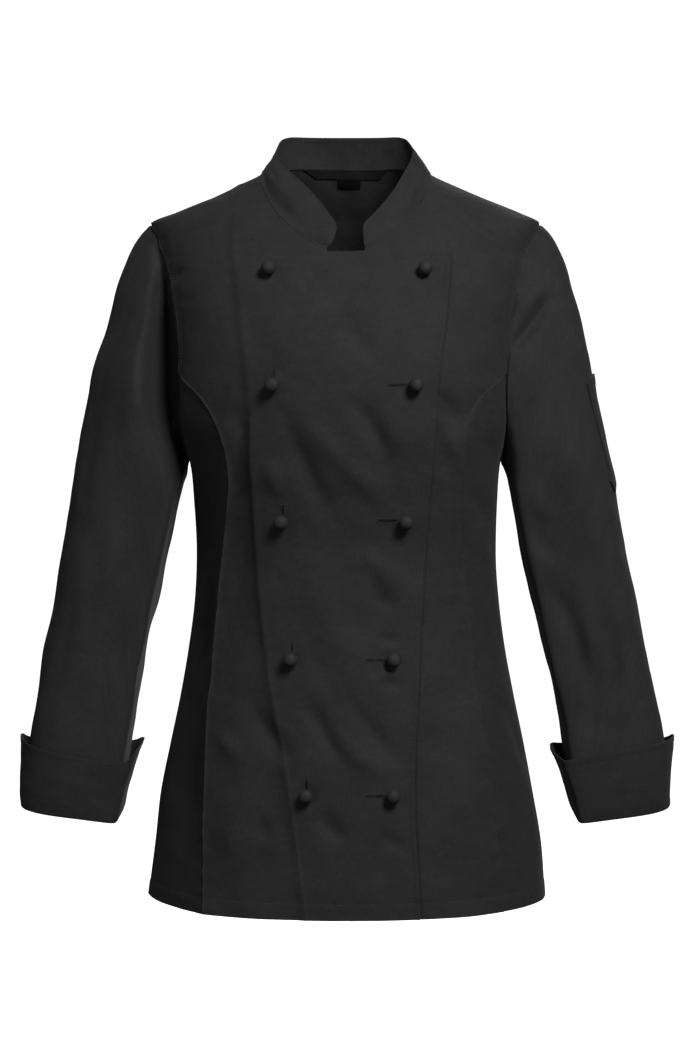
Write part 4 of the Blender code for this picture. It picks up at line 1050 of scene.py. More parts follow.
# Creases on the front of each sleeve, as in the table for the fronts.
SLEEVE_CREASES = {
    -1: [
        (-0.196, -0.130, -0.197, -0.205, -0.203, -0.300, 0.015, 0.0050),
        (-0.221, -0.150, -0.240, -0.235, -0.254, -0.366, 0.010, -0.0045),
        (-0.254, -0.350, -0.262, -0.410, -0.285, -0.520, 0.010, -0.0042),
        (-0.215, -0.300, -0.222, -0.360, -0.232, -0.430, 0.010, 0.0031),
        (-0.200, -0.400, -0.215, -0.455, -0.236, -0.500, 0.008, -0.0031),
        (-0.190, -0.330, -0.196, -0.362, -0.212, -0.390, 0.008, -0.0028),
    ],
    1: [
        (0.148, -0.172, 0.171, -0.151, 0.197, -0.112, 0.006, -0.0105),
        (0.156, -0.140, 0.174, -0.120, 0.193, -0.103, 0.008, 0.0050),
        (0.187, -0.165, 0.190, -0.215, 0.192, -0.262, 0.009, -0.0039),
        (0.213, -0.252, 0.203, -0.285, 0.193, -0.312, 0.008, 0.0031),
        (0.172, -0.290, 0.182, -0.315, 0.198, -0.334, 0.009, 0.0024),
        (0.172, -0.326, 0.184, -0.350, 0.202, -0.366, 0.009, -0.0024),
        (0.180, -0.372, 0.213, -0.430, 0.231, -0.502, 0.009, -0.0045),
        (0.221, -0.378, 0.229, -0.435, 0.236, -0.492, 0.009, 0.0031),
        (0.244, -0.400, 0.252, -0.450, 0.262, -0.505, 0.009, -0.0026),
    ],
}

BACK_CREASE_DROP = 0.008    # creases behind lie this much lower on the left arm, higher on the right

# The deep hollow where the wearer's right sleeve falls behind the chest: its depth, and how
# far from the seam its floor ends and its outer wall meets the sleeve.
SLEEVE_HOLLOW = table("height floor wall depth", [
    (-0.345, 0.002, 0.012, 0.000),
    (-0.305, 0.003, 0.020, 0.014),
    (-0.255, 0.006, 0.030, 0.034),
    (-0.200, 0.010, 0.040, 0.046),
    (-0.158, 0.008, 0.036, 0.044),
    (-0.125, 0.004, 0.026, 0.028),
    (-0.096, 0.002, 0.016, 0.012),
    (-0.066, 0.001, 0.010, 0.000),
])

HOLLOW_START = 0.0035       # how soon it leaves the seam

# Creases on the back of each sleeve, distance from the centre and height.
SLEEVE_BACK_CREASES = [
    (0.172, -0.170, 0.190, -0.215, 0.196, -0.275, 0.009, -0.0026),
    (0.215, -0.150, 0.236, -0.220, 0.243, -0.300, 0.010, -0.0020),
    (0.180, -0.330, 0.205, -0.352, 0.236, -0.356, 0.008, -0.0024),
    (0.192, -0.365, 0.222, -0.384, 0.250, -0.385, 0.008, 0.0020),
    (0.205, -0.420, 0.226, -0.462, 0.256, -0.480, 0.008, -0.0022),
    (0.262, -0.390, 0.276, -0.450, 0.284, -0.520, 0.009, -0.0018),
]


def sleeve_section(side, down, around):
    """Reference line of the sleeve between its outer and inner lines: |a|^p + |b|^p = 1."""
    down, around = np.broadcast_arrays(np.asarray(down, float), np.asarray(around, float))
    outer_x, inner_x, outer_z, inner_z, middle, half_depth = (
        read(SLEEVE, column, down, by="down")
        for column in ("outer_" + SIDE_NAMES[side], "inner_" + SIDE_NAMES[side],
                       "outer_height", "inner_height", "middle", "half_depth"))
    outer = np.stack([side * outer_x, outer_z], axis=-1)
    inner = np.stack([side * inner_x, inner_z], axis=-1)
    aside = np.sign(np.cos(around)) * np.abs(np.cos(around)) ** (2 / SLEEVE_SPACING)
    power = np.where(aside < 0, *SLEEVE_SQUARENESS)
    forward = np.sign(np.sin(around)) * (1.0 - np.abs(aside) ** power) ** (1.0 / power)
    level = (outer + inner) / 2 + (outer - inner) / 2 * aside[..., None]
    return np.stack([level[..., 0], middle - half_depth * forward, level[..., 1]], axis=-1)


def sleeve_middle(side, down):
    """The middle line of a sleeve, half way between its outer and inner lines."""
    outer, inner = (sleeve_section(side, down, np.full(1, turn)) for turn in (0.0, math.pi))
    return (outer + inner) / 2


def sleeve_fold_height(side, down, around):
    """Broad folds of a sleeve: soft ovals, which differ a little between the arms."""
    total = np.zeros(np.broadcast(down, around).shape)
    for number, (place, turn, half_length, half_turn, height) in enumerate(SLEEVE_FOLDS):
        shift = SLEEVE_FOLD_SHIFT * side * math.sin(2.4 * number)
        strength = 1.0 + SLEEVE_FOLD_CHANGE * side * math.cos(1.9 * number)
        apart = (around - math.radians(turn) + math.pi) % (2 * math.pi) - math.pi
        round_it = bell(apart, 0.0, math.radians(half_turn))
        total += rise(down, height * strength, place + shift, half_length) * round_it
    return total * np.clip((SLEEVE_LENGTH - CUFF_HEIGHT - down) / CUFF_SETTLE, 0.0, 1.0)


def armhole_loop(side):
    """The armhole seam as a ring, shoulder tip down the front and up the back."""
    edge, beside = FIRST if side < 0 else LAST
    front = front_surface(side)[0][PRINCESS_ROW:][::-1]
    low = side_surface(side)[0][UNDERARM_ROW:PRINCESS_ROW][::-1]
    behind = back_points[UNDERARM_ROW + 1:-1]
    loop = np.concatenate([front[:, edge], low[:, 0], behind[:, edge]])
    within = np.concatenate([front[:, beside], low[:, 1], behind[:, beside]])
    return loop, outward(loop), unit(loop - within)


def sleeve_angles(loop):
    """Angle round the sleeve for each point of the armhole, by its share of the seam."""
    reached = along_line(np.concatenate([loop, loop[:1]]))
    lowest = int(np.argmin(loop[:, 2]))
    front = reached[:lowest + 1] / reached[lowest] * math.pi
    behind = (reached[lowest + 1:-1] - reached[lowest]) / (reached[-1] - reached[lowest])
    return np.concatenate([front, math.pi + behind * math.pi]), lowest


def sleeve_surface(side):
    """Outer points and outward directions of a sleeve: cubic cap, then the table's sections."""
    loop, seam_normals, away = armhole_loop(side)
    first, lowest = sleeve_angles(loop)
    even = np.concatenate([
        np.linspace(0.0, math.pi, lowest + 1),
        np.linspace(math.pi, 2 * math.pi, len(loop) - lowest + 1)[1:-1],
    ])
    target = sleeve_section(side, 0.0, first)
    onward = unit(sleeve_section(side, 0.03, first) - target)
    top = np.cos(first) * 0.5 + 0.5
    leave = unit(np.stack([
        side * np.interp(top, [0, 1], CAP_OUT),
        -CAP_ALONG * np.sin(first),
        -np.interp(top, [0, 1], CAP_DOWN),
    ], axis=-1))
    span = np.linalg.norm(target - loop, axis=1, keepdims=True)
    leave_reach = np.interp(top, [0, 1], CAP_REACH)[:, None] * span
    offset = loop - away * SEAM_PRESS + seam_normals * (UNDERARM_STEP * (1 - top))[:, None]
    share = (np.linspace(0.0, 1.0, CAP_ROWS + 1)[:-1] ** CAP_CROWDING)[:, None, None]
    cap = cubic(share, offset, leave * leave_reach, target, onward * CAP_ARRIVAL * span)
    down = np.linspace(0.0, SLEEVE_LENGTH - CUFF_LEG - GAP, ARM_ROWS)[:, None]
    settle = np.minimum(1.0, down / ARM_SETTLE)
    around = first + (even - first) * settle
    arm = sleeve_section(side, down, around)
    middle = sleeve_middle(side, down)
    narrow = ease(down, SLEEVE_LENGTH - CUFF_HEIGHT, SLEEVE_LENGTH - CUFF_LEG)
    start = ease(down, 0.0, 0.05)
    fold = sleeve_fold_height(side, down, around) * start
    arm = arm + unit(arm - middle) * (fold - SLEEVE_NARROWING * narrow)[..., None]
    points = np.concatenate([cap, arm])
    looped = np.concatenate([points, points[:, :1]], axis=1)
    normals = closed_normals(looped) * side
    turned = np.clip((np.cos(first) - 0.2) / 0.4, 0.0, 1.0)[:, None]
    turned = np.concatenate([turned, turned[:1]])
    seam = np.concatenate([seam_normals, seam_normals[:1]])
    normals[0] = unit(seam * turned + normals[0] * (1 - turned))
    turn = np.concatenate([np.broadcast_to(first, (CAP_ROWS, len(first))), around])
    turn = np.concatenate([turn, turn[:, :1] + 2 * math.pi], axis=1)
    relief = sleeve_relief(side, looped, turn)
    worked = looped + normals * relief[..., None]
    if side < 0:
        worked[..., 1] += sleeve_hollow(side, looped, turn)
        normals[1:] = (closed_normals(worked) * side)[1:]
    return worked, normals


def closed_normals(points):
    """Directions across a grid whose last column repeats its first."""
    padded = np.concatenate([points[:, -2:-1], points, points[:, 1:2]], axis=1)
    return unit(np.cross(np.gradient(padded, axis=1)[:, 1:-1], np.gradient(points, axis=0)))


def sleeve_hollow(side, points, turn):
    """How far the hollow beside the chest goes back: a floor, then 1 - ease up its wall."""
    level = np.clip(points[..., 2], SLEEVE_HOLLOW["height"][0], SLEEVE_HOLLOW["height"][-1])
    apart = side * points[..., 0] - read(ARMHOLE, SIDE_NAMES[side], np.maximum(level, UNDERARM))
    floor = read(SLEEVE_HOLLOW, "floor", level)
    wall = read(SLEEVE_HOLLOW, "wall", level)
    depth = layer(apart, read(SLEEVE_HOLLOW, "depth", level), floor, wall)
    from_seam = 1.0 - bell(along_columns(points), 0.0, HOLLOW_START)
    return depth * from_seam * ease(np.sin(turn), 0.0, 0.3)


def sleeve_relief(side, points, turn):
    """Creases of one sleeve: its own in front, similar ones behind, seam and cap puckers."""
    front, behind = (ease(way * np.sin(turn), 0.05, 0.5) for way in (1, -1))
    mirrored = points * np.array([side, 1.0, 1.0]) + np.array([0.0, 0.0, BACK_CREASE_DROP * side])
    relief = crease_height(points, SLEEVE_CREASES[side]) * front
    relief = relief + crease_height(mirrored, SLEEVE_BACK_CREASES) * behind
    relief = relief + slack(points, 41 + side, 3, SLEEVE_SLACK)
    walked = along_columns(points)
    settle = ease(walked, 0.0, 0.006)
    cuff_top = walked[-1] - CUFF_HEIGHT
    near_cuff = layer(walked, 1.0, cuff_top - 0.015, cuff_top + 0.01)
    top = np.cos(turn) * 0.5 + 0.5
    phase = turn * 21 + 1.4 * np.sin(turn * 5 + side)
    fading = np.exp(-walked / 0.011) * ease(walked, 0.0, 0.004)
    pucker = CAP_PUCKER * top * np.sin(phase) * fading
    allowance = rise(walked, *CAP_SEAM) + rise(walked, *CAP_ALLOWANCE)
    return relief * settle * near_cuff + pucker + allowance


panel("sleeve_right", *sleeve_surface(-1), closed=True)
left_sleeve = panel("sleeve_left", *sleeve_surface(1), closed=True)


# The turned cuffs: each wall comes down inside the sleeve's line, folds over and stands up
# outside it, with a pressed free edge that flares unevenly.

CUFF_PATH = table("out up", [
    (0.0095, CUFF_HEIGHT),
    (0.0062, 0.0450),
    (0.0030, 0.0220),
    (0.0004, 0.0050),
    (-0.0010, 0.0010),
    (-0.0033, 0.0003),
    (-0.0048, 0.0020),
    (-0.0049, CUFF_LEG),
])
CUFF_EDGE = table("around right left flare", [
    (0.0, 1.02, 1.01, 1.00),
    (45.0, 0.98, 1.01, 0.90),
    (90.0, 0.96, 1.03, 0.80),
    (150.0, 1.03, 1.03, 1.10),
    (180.0, 1.17, 1.09, 1.45),
    (215.0, 1.10, 1.06, 1.20),
    (270.0, 0.97, 0.97, 1.00),
    (325.0, 0.94, 0.93, 1.00),
    (360.0, 1.02, 1.01, 1.00),
])
CUFF_SLACK = ((0.060, 0.0009), (0.025, 0.0003))
CUFF_COLUMNS = 176
CUFF_ROWS = 56
CUFF_FOLD_ROWS = 20     # of them round the fold and up the inner leg
CUFF_DIP = (-0.0003, 0.005, 0.0009)     # at the stitch line, from the free edge
CUFF_LAYER = (0.0004, 0.0045, 0.006)


def cuff_surface(side):
    """Outer points of a cuff: a path across it, carried round the sleeve's section."""
    around = np.linspace(0.0, 2 * math.pi, CUFF_COLUMNS + 1)
    share = read(CUFF_EDGE, SIDE_NAMES[side], np.degrees(around), by="around")
    flare = read(CUFF_EDGE, "flare", np.degrees(around), by="around")
    numbers = np.arange(float(len(CUFF_PATH["out"])))
    at = np.concatenate([
        np.linspace(0, 3, CUFF_ROWS - CUFF_FOLD_ROWS),
        np.linspace(3, 7, CUFF_FOLD_ROWS + 1)[1:],
    ])
    out = smooth_read(at, numbers, CUFF_PATH["out"])[:, None]
    up = smooth_read(at, numbers, CUFF_PATH["up"])[:, None]
    leg = ease(at, 5.5, 7.0)[:, None]
    raised = up * (1 + (share - 1) * np.minimum(1.0, up / CUFF_SETTLE) * (1 - leg))
    points = sleeve_section(side, SLEEVE_LENGTH - raised, around)
    middle = sleeve_middle(side, SLEEVE_LENGTH - up)
    spread = 1.0 + (flare - 1.0) * (up / CUFF_HEIGHT) ** 2
    points = points + unit(points - middle) * (out * spread)[..., None]
    normals = closed_normals(points) * side
    free = along_columns(points)
    outside = layer(at, 1.0, 2.4, 3.2)[:, None]
    relief = slack(points, 51 + side, 3, CUFF_SLACK) * outside
    relief += layer(free, *CUFF_LAYER) + rise(free, *CUFF_DIP)
    points = points + normals * relief[..., None]
    return points, closed_normals(points) * side


cuffs = [
    panel("cuff_" + SIDE_NAMES[side], *cuff_surface(side), closed=True, held="folded")
    for side in SIDE_NAMES
]


# The pen pocket on the wearer's left upper arm: a narrow patch of twill on the sleeve, open
# at the top, turned and topstitched at the sides, with a shallow point below.

POCKET_ROWS = (36.4, 56.3)      # rows of the sleeve's grid
POCKET_POINT = 4.2
POCKET_REACH = 15.0             # columns to each side of its middle
POCKET_TURN = (10.0, 16.5)      # columns that its middle lies in front of the shoulder line,
                                # at its top and at its lower end
POCKET_CELLS = 60
POCKET_COLUMNS = 29
POCKET_MARGIN = 14
POCKET_EDGE = 0.002             # its stitch line at the sides and below
POCKET_WELT = 0.0098            # its stitch line below the opening
POCKET_DIP = (-0.0004, POCKET_EDGE, 0.0007)
POCKET_LAYER = (0.0005, 0.009, 0.0105)
POCKET_GAP = 0.0003


def sample(grid, rows, columns):
    """Read a grid of vectors between its points, by row and column place."""
    low_row = np.clip(np.floor(rows).astype(int), 0, grid.shape[0] - 2)
    low_column = np.clip(np.floor(columns).astype(int), 0, grid.shape[1] - 2)
    down, right = (rows - low_row)[..., None], (columns - low_column)[..., None]
    near = grid[low_row, low_column] * (1 - right) + grid[low_row, low_column + 1] * right
    low_row = low_row + 1
    far = grid[low_row, low_column] * (1 - right) + grid[low_row, low_column + 1] * right
    return near * (1 - down) + far * down


def make_pocket():
    """The pocket: the sleeve's own points, moved out by the cloth."""
    turns = np.linspace(-POCKET_REACH, POCKET_REACH, POCKET_COLUMNS)
    lowest = POCKET_ROWS[1] + POCKET_POINT * (1.0 - np.abs(turns) / POCKET_REACH)
    rows = POCKET_ROWS[0] + (lowest - POCKET_ROWS[0]) * np.linspace(0, 1, POCKET_CELLS)[:, None]
    columns = np.broadcast_to(turns, rows.shape)
    centred, normals = (np.roll(grid[:, :-1], POCKET_MARGIN, axis=1) for grid in left_sleeve)
    lean = ease(rows, POCKET_ROWS[0] - 6.0, POCKET_ROWS[1] + 10.0)
    place = columns + POCKET_TURN[0] + (POCKET_TURN[1] - POCKET_TURN[0]) * lean + POCKET_MARGIN
    points, out = sample(centred, rows, place), unit(sample(normals, rows, place))
    walked = along_rows(points)
    edge = np.minimum(walked, walked[:, -1:] - walked)
    tall = along_columns(points)
    edge = np.minimum(edge, tall[-1:] - tall)
    thick = WALL + POCKET_GAP + rise(edge, *POCKET_DIP) + layer(tall, *POCKET_LAYER)
    inner = points + out * POCKET_GAP
    outer = inner + out * thick[..., None]
    shell("sleeve_pocket", outer, inner, cut_uv(points), held="laid", rests_on=["sleeve_left"])
    return outer, out


pocket = make_pocket()


# Inside the back neck: a ribbed cotton tape to hang the jacket by, sewn along the neck
# seam with slanting ends, and a small blank label below it.

TAPE_HALF = 0.042
TAPE_DROP = 0.0088
TAPE_SLANT = (0.0125, 0.0080)   # how much each end runs in towards the lower edge
TAPE_WALL = 0.0010
LABEL_HALF = 0.011
LABEL_DROP = 0.0170
LABEL_ASIDE = 0.0034      # the label sits a little towards the wearer's left
TAPE_RIB = 0.00012
TAPE_RIB_PITCH = 0.0032
TAPE_COLUMNS = 65
NECK_TURNED = (0.002, 0.0016)   # cloth turned under at the ends and along the lower edge


def tape_material(name, dark, light, pitch, depth, roughness):
    """Woven tape: ribs across it at a pitch, smoother than twill, with 2.5 mm unevenness."""
    made, tree, shader = new_material(name)
    place = add(tree, "UVMap", {"uv_map": "cut"}).outputs["UV"]
    ribs = add(tree, "TexWave", {"bands_direction": "X"}, Vector=place,
               Scale=math.pi / 10 / pitch, Distortion=0.3)
    uneven = add(tree, "TexNoise", Vector=place, Scale=400.0, Detail=3.0)
    share = add(tree, "Math", {"operation": "MULTIPLY_ADD"},
                _0=uneven.outputs["Fac"], _1=0.6, _2=ribs.outputs["Fac"])
    colour = add(tree, "Mix", {"data_type": "RGBA"}, Factor=share.outputs[0],
                 A=linear(dark), B=linear(light))
    bump = add(tree, "Bump", Strength=0.6, Distance=depth, Height=share.outputs[0])
    finish(shader, Base_Color=colour.outputs["Result"], Normal=bump.outputs[0],
           Roughness=roughness, Specular_IOR_Level=0.2)
    return made


grosgrain = tape_material("grosgrain tape", "#0b0b0c", "#1d1d1f", 0.0016, 0.0004, 0.62)
# The buttonhole slits reuse this near-black satin as painted shade in their cuts.
satin_label_and_slit_shade = tape_material("satin label weave", "#060607", "#0c0c0e", 0.0008, 0.0001, 0.55)


def neck_piece(name, half, aside, drops, slant, material, rib_height):
    """A strip inside the back, at distances below the neck seam."""
    middle = back_points.shape[1] // 2
    strip = slice(middle - BACK_NECK_CELLS, middle + BACK_NECK_CELLS + 1)
    rows = slice(LAP_ROW, None)
    grid = back_points[rows, strip][::-1]
    normals = back_normals[rows, strip][::-1]
    fall = np.abs(grid[..., 2] - grid[:1, :, 2])
    across = np.linspace(-half, half, TAPE_COLUMNS)
    fallen = ((drops - drops[0]) / (drops[-1] - drops[0]))[:, None]
    narrowed = across * (1.0 - np.where(across < 0, slant[0], slant[1]) / half * fallen)
    numbers = np.arange(grid.shape[1])
    columns = np.interp(narrowed + aside, grid[0, :, 0], numbers)
    places = np.empty_like(columns)
    for row, drop in enumerate(drops):
        by_column = [np.interp(drop, column, np.arange(len(grid))) for column in fall.T]
        places[row] = np.interp(columns[row], numbers, by_column)
    points, out = sample(grid, places, columns), unit(sample(normals, places, columns))
    outer = points - out * (WALL + GAP)
    rib = rib_height * np.sin(narrowed * 2 * math.pi / TAPE_RIB_PITCH)
    inner = outer - out * (TAPE_WALL + rib)[..., None]
    shell(name, outer, inner, cut_uv(points), held="laid", rests_on=["back"],
          turned=NECK_TURNED, material=material, slot="tape")


neck_piece("neck_tape", TAPE_HALF, 0.0, np.linspace(0.0002, TAPE_DROP, 9), TAPE_SLANT,
           grosgrain, TAPE_RIB)
neck_piece("neck_label", LABEL_HALF, LABEL_ASIDE, np.linspace(TAPE_DROP + 0.0004, LABEL_DROP, 9),
           (0.0, 0.0), satin_label_and_slit_shade, 0.0)


# The studs: ten round balls of matt moulded plastic, each on a short shank through the
# laps. Every one is turned to stand straight out of the cloth.

BUTTON_RADIUS = 0.0067
SHANK_RADIUS = 0.0021
SHANK_LENGTH = 0.0016
STUD_SIDES = 36
STUD_FLATTENING = 0.05      # how much the ball's crown is pressed flat
STUD_FOOT = ([0.0, 0.0030, 0.0029, SHANK_RADIUS], [0.0, 0.0, 0.0004, 0.0008])   # radii, heights


def stud_material():
    """Matt moulded plastic: a 0.7 mm grain, and polish in 6 mm patches where it is handled."""
    made, tree, shader = new_material("moulded stud plastic")
    place = add(tree, "TexCoord").outputs["Object"]
    grain = add(tree, "TexNoise", Vector=place, Scale=1400.0, Detail=3.0)
    wear = add(tree, "TexNoise", Vector=place, Scale=160.0, Detail=2.0)
    colour = add(tree, "Mix", {"data_type": "RGBA"}, Factor=wear.outputs["Fac"],
                 A=linear("#161617"), B=linear("#232324"))
    rough = add(tree, "MapRange", Value=wear.outputs["Fac"], From_Min=0.3, From_Max=0.7,
                To_Min=0.74, To_Max=0.88)
    bump = add(tree, "Bump", Strength=0.25, Distance=0.0002, Height=grain.outputs["Fac"])
    finish(shader, Base_Color=colour.outputs["Result"], Roughness=rough.outputs[0],
           Normal=bump.outputs[0])
    return made


stud_plastic = stud_material()


def lap_point(across, height):
    """Outer point and direction of the overlapping front at any place away from its seams."""
    flat, normal = on_torso(np.asarray(across, float), np.asarray(height, float), -1)
    lifted = torso_relief(flat, normal) + WALL + GAP
    return flat + normal * lifted[..., None], normal


def ring_cells(count, sides):
    """Corners of the cells between rings of points, and the grid of their numbers."""
    grid = np.arange(count * sides).reshape(-1, sides)
    after = np.roll(grid, -1, axis=1)
    return np.stack([grid[:-1], grid[1:], after[1:], after[:-1]], axis=-1).reshape(-1, 4), grid


def make_stud(name, across, height):
    """One stud: radius against height for a foot, a waisted shank and a ball."""
    seat, normal = lap_point(across, height)
    side = unit(np.cross(normal, [0.0, 0.0, 1.0]))
    up = np.cross(side, normal)
    rise = SHANK_LENGTH + math.sqrt(BUTTON_RADIUS ** 2 - SHANK_RADIUS ** 2)
    turns = np.linspace(math.asin(SHANK_RADIUS / BUTTON_RADIUS), math.pi, 19)
    flat = 1.0 - STUD_FLATTENING * ease(turns, 2.2, math.pi)
    radii = np.concatenate([STUD_FOOT[0], BUTTON_RADIUS * np.sin(turns)])
    heights = np.concatenate([STUD_FOOT[1], rise - BUTTON_RADIUS * np.cos(turns) * flat])
    radii[-1] = 0.0
    turn = np.linspace(0.0, 2 * math.pi, STUD_SIDES, endpoint=False)
    ring = np.cos(turn)[:, None] * side + np.sin(turn)[:, None] * up
    body = seat + radii[1:-1, None, None] * ring + (heights[1:-1, None] * normal)[:, None]
    points = np.concatenate([[seat], body.reshape(-1, 3), [seat + normal * heights[-1]]])
    quads, grid = ring_cells(len(radii) - 2, STUD_SIDES)
    first, last = 1 + grid[0], 1 + grid[-1]
    foot = np.stack([0 * first, first, np.roll(first, -1)], axis=-1)
    crown = np.stack([0 * last + len(points) - 1, np.roll(last, -1), last], axis=-1)
    mesh = new_mesh(name, points, (1 + quads).tolist() + foot.tolist() + crown.tolist())
    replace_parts(new_piece(name, mesh, stud_plastic), name)


for row, height in enumerate(BUTTONS["height"]):
    for side, word in SIDE_NAMES.items():
        make_stud("button_" + word + "_" + str(row + 1), side * BUTTONS[word][row], height)


# The thread: topstitching along the edges and seams, and the buttonholes of the lower four
# rows, upright on the wearer's right and level on the left.

STITCH_PITCH = 0.0031
STITCH_LENGTH = 0.0024
STITCH_WIDTH = 0.0007
STITCH_RISE = 0.00035
ARMHOLE_STITCHES = (0.0022, 0.0066)     # distances of stitch lines from their seam or edge
COLLAR_EDGE_STITCH = 0.0032
COLLAR_SEAM_STITCH = 0.0036
CUFF_EDGE_STITCH = 0.0052
HEM_ROWS = 30               # rows of a panel that hold its hem
HOLE_LENGTH = 0.019
SHORT_HOLE = 0.010
HOLE_ASIDE = 0.0150         # a level hole's middle from its stud, and an upright one's above it
HOLE_ABOVE = 0.0105
HOLE_PITCH = 0.0008
HOLE_REACH = (0.0009, 0.0026)
HOLE_THREAD = 0.0005
SLIT_HALF = 0.0013
SLIT_RISE = 0.0001


def thread_material():
    """Black polyester thread: a twist of 0.6 mm along each stitch and a slight shine."""
    made, tree, shader = new_material("polyester thread")
    place = add(tree, "TexCoord").outputs["Object"]
    twist = add(tree, "TexNoise", Vector=place, Scale=1800.0, Detail=2.0)
    colour = add(tree, "Mix", {"data_type": "RGBA"}, Factor=twist.outputs["Fac"],
                 A=linear("#1d1d1e"), B=linear("#333335"))
    finish(shader, Base_Color=colour.outputs["Result"], Roughness=0.75)
    return made


thread = thread_material()
stitches = []       # for each line: starts, ends, the way up and width of every stitch


def lay_stitches(points, normals):
    """Stitches at an even pitch along a line of points on the cloth."""
    reached = along_line(points)
    starts = np.arange(STITCH_PITCH / 2, reached[-1] - STITCH_LENGTH, STITCH_PITCH)
    first, last, up = (
        np.stack([np.interp(at, reached, values) for values in line.T], axis=-1)
        for at, line in ((starts, points), (starts + STITCH_LENGTH, points), (starts, normals)))
    stitches.append((first, last, unit(up), np.full(len(starts), STITCH_WIDTH)))


def stitch_down(grid, normals, distances, last, rows=slice(None)):
    """Stitch lines down a grid, at distances from its first or its last column."""
    walked = along_rows(grid)[rows]
    numbers = np.arange(grid.shape[1], dtype=float)
    places = np.arange(grid.shape[0], dtype=float)[rows]
    for distance in distances:
        columns = np.array([
            np.interp(row[-1] - distance if last else distance, row, numbers) for row in walked])
        lay_stitches(sample(grid, places, columns), unit(sample(normals, places, columns)))


def stitch_across(grid, normals, distances, last, columns=slice(None)):
    """Stitch lines across a grid, at distances from its first or its last row."""
    stitch_down(grid.transpose(1, 0, 2), normals.transpose(1, 0, 2), distances, last, columns)


def hole_points(across, height, level, along, aside):
    """Points of the lap at distances along a buttonhole and aside from its slit."""
    along, aside = np.broadcast_arrays(along, aside)
    if level:
        return lap_point(across + along, height + aside)
    return lap_point(across + aside, height + along)


def buttonhole(across, height, level, length):
    """Close stitches on both sides of a slit, as thread laid square to it."""
    along = np.arange(-length / 2, length / 2, HOLE_PITCH)
    for aside in (-1.0, 1.0):
        near, far = (hole_points(across, height, level, along, aside * reach) for reach in HOLE_REACH)
        stitches.append((near[0], far[0], near[1], np.full(len(along), HOLE_THREAD)))


def hole_slit(across, height, level, length):
    """The cut itself, as a thin strip just above the lap, coloured near black as painted shade in the
    opening.
    """
    along = np.linspace(-length / 2, length / 2, 9)
    wide = np.array([-1.0, 1.0])[:, None] * SLIT_HALF * np.sqrt(1.0 - (along / length * 1.98) ** 2)
    points, normals = hole_points(across, height, level, along, wide)
    return points + normals * SLIT_RISE


def make_thread():
    """Join every stitch into one mesh: a lozenge with a raised ridge, nine points each."""
    starts, ends, up, width = (np.concatenate(column) for column in zip(*stitches))
    aside = unit(np.cross(ends - starts, up)) * width[:, None] / 2
    middle = (starts + ends) / 2
    rise = up * STITCH_RISE
    low = starts + (ends - starts) * 0.25
    high = starts + (ends - starts) * 0.75
    corners = np.stack([
        starts - rise * 0.3, ends - rise * 0.3,
        low + aside, low + rise, low - aside,
        high + aside, high + rise, high - aside,
        middle - rise * 0.5,
    ], axis=1)
    pattern = np.array([
        (0, 2, 3), (0, 3, 4), (1, 6, 5), (1, 7, 6), (2, 5, 6), (2, 6, 3), (3, 6, 7), (3, 7, 4),
        (0, 8, 2), (2, 8, 5), (5, 8, 1), (0, 4, 8), (4, 7, 8), (7, 1, 8),
    ])
    faces = (np.arange(len(starts))[:, None, None] * 9 + pattern).reshape(-1, 3)
    new_piece("topstitching", new_mesh("topstitching", corners, faces), thread)


overlap = [grid[:LAP_ROW + 1] for grid in right_front]
stitch_across(*overlap, EDGE_STITCHES, True, slice(RIGHT_COLLAR_COLUMN, OVERLAP_COLUMN - 3))
stitch_down(*overlap, EDGE_STITCHES, True)
for front, last in ((right_front, False), (left_front, True)):
    stitch_down(*front, [SEAM_STITCH], last, slice(PRINCESS_ROW))
    stitch_down(*front, ARMHOLE_STITCHES, last, slice(PRINCESS_ROW, None))
for last in (False, True):
    stitch_down(*back, ARMHOLE_STITCHES, last, slice(UNDERARM_ROW, None))
for outer, normals in [right_front, left_front, back, *side_panels]:
    stitch_across(outer[:HEM_ROWS], normals[:HEM_ROWS], [HEM_FOLD], False)
stitch_across(*collar, [COLLAR_EDGE_STITCH], True)
stitch_across(*collar, [COLLAR_SEAM_STITCH], False)
for cuff in cuffs:
    stitch_across(*cuff, [CUFF_EDGE_STITCH], False)
for last in (False, True):
    stitch_down(*pocket, [POCKET_EDGE], last)
stitch_across(*pocket, [POCKET_EDGE], True)
stitch_across(*pocket, [POCKET_WELT], False)
slits = []
for height, right, left in list(zip(BUTTONS["height"], BUTTONS["right"], BUTTONS["left"]))[1:]:
    for hole in ((-right, height + HOLE_ABOVE, False, SHORT_HOLE),
                 (left - HOLE_ASIDE, height, True, HOLE_LENGTH)):
        buttonhole(*hole)
        slits.append(hole_slit(*hole))
make_thread()


def make_slits():
    """All the slits as one mesh of narrow strips, in the label's near-black satin as painted shade."""
    points = np.array(slits)
    grid = np.arange(points[..., 0].size).reshape(points.shape[:3])
    faces = np.stack([grid[:, 0, :-1], grid[:, 0, 1:], grid[:, 1, 1:], grid[:, 1, :-1]], axis=-1)
    mesh = new_mesh("buttonhole_slits_painted_shade", points, faces.reshape(-1, 4))
    mesh.shade_flat()
    mesh.uv_layers.new(name="cut")
    new_piece("buttonhole_slits_painted_shade", mesh, satin_label_and_slit_shade)


make_slits()


# The studio: a pale round floor that curves up into a wall and a vault on every side, one
# strong soft light in front on the wearer's left, weaker ones on the right and behind, and
# the camera.

FLOOR = -1.10
ROOM = 9.0
ROOM_SIDES = 48
ROOM_CENTRE = 0.0001    # radius of the ring at the middle of the floor and of the vault
BEND = 2.0              # radius of the curve between floor and wall
WALL_TOP = 4.0
VAULT = 3.0             # how far the vault rises above the wall


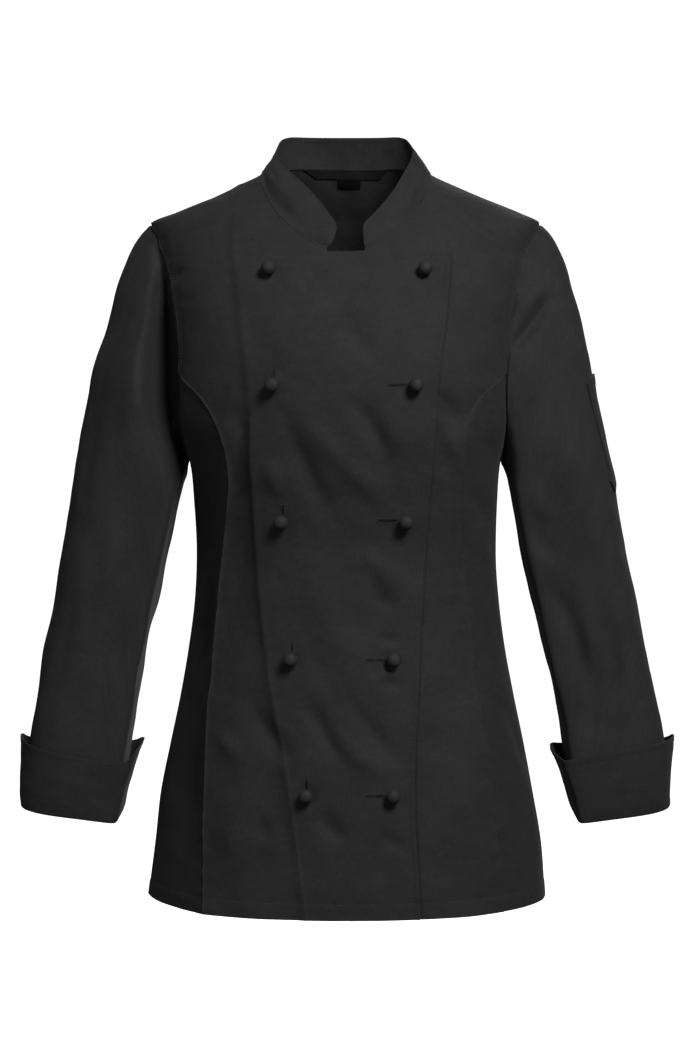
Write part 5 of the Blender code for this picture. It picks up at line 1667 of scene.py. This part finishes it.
def make_studio():
    """A pale bowl round the jacket: floor, quarter circle, wall and vault, turned once."""
    turn = np.linspace(0, math.pi / 2, 13)
    out = np.concatenate([
        [ROOM_CENTRE], ROOM - BEND + BEND * np.sin(turn), ROOM * np.cos(turn[:-1]), [ROOM_CENTRE]])
    height = np.concatenate([
        [FLOOR], FLOOR + BEND - BEND * np.cos(turn), WALL_TOP + VAULT * np.sin(turn[:-1]),
        [WALL_TOP + VAULT]])
    around = np.linspace(0, 2 * math.pi, ROOM_SIDES, endpoint=False)
    points = np.stack([out[:, None] * np.cos(around), out[:, None] * np.sin(around),
                       np.broadcast_to(height[:, None], (len(out), ROOM_SIDES))], axis=-1)
    mesh = new_mesh("sweep", points, ring_cells(len(out), ROOM_SIDES)[0][:, ::-1])
    made, tree, shader = new_material("paper sweep")
    place = add(tree, "TexCoord").outputs["Object"]
    grain = add(tree, "TexNoise", Vector=place, Scale=3.0)
    tone = add(tree, "Mix", {"data_type": "RGBA"}, Factor=grain.outputs["Fac"],
               A=(0.93, 0.93, 0.93, 1.0), B=(0.97, 0.97, 0.97, 1.0))
    finish(shader, Base_Color=tone.outputs["Result"], Roughness=0.95,
           Emission_Color=(1.0, 1.0, 1.0, 1.0), Emission_Strength=1.0)
    mesh.materials.append(made)
    sweep = bpy.data.objects.new("sweep", mesh)
    bpy.context.scene.collection.objects.link(sweep)
    sweep.visible_diffuse = False
    sweep.visible_glossy = False
    sweep.visible_shadow = False


def aimed(name, data, place, aim):
    """Put a light or a camera in the scene, turned towards a point."""
    made = bpy.data.objects.new(name, data)
    made.location = place
    made.rotation_euler = (Vector(aim) - Vector(place)).to_track_quat("-Z", "Y").to_euler()
    bpy.context.scene.collection.objects.link(made)
    return made


make_studio()
for name, place, aim, size, power in (
    ("key", (1.08, -2.24, 1.50), (0.0, 0.0, -0.3), 1.0, 88.0),
    ("fill", (-1.5, -2.5, 0.2), (0.0, 0.0, -0.35), 1.6, 11.0),
    ("behind", (0.9, 2.7, 1.3), (0.0, 0.0, -0.3), 1.2, 26.0),
):
    lamp = bpy.data.lights.new(name, "AREA")
    lamp.shape = "SQUARE"
    lamp.size = size
    lamp.energy = power
    aimed(name, lamp, place, aim)
world = bpy.data.worlds.new("studio air")
world.use_nodes = True
finish(world.node_tree.nodes["Background"], Color=(1.0, 1.0, 1.0, 1.0), Strength=0.07)
bpy.context.scene.world = world
bpy.context.scene.view_settings.view_transform = "Standard"

lens = bpy.data.cameras.new("camera")
lens.sensor_fit = "VERTICAL"
lens.sensor_height = 36.0
lens.lens = 92.1
bpy.context.scene.camera = aimed("camera", lens, (0.0034, -2.6, -0.20), (0.0034, 0.0, -0.341))
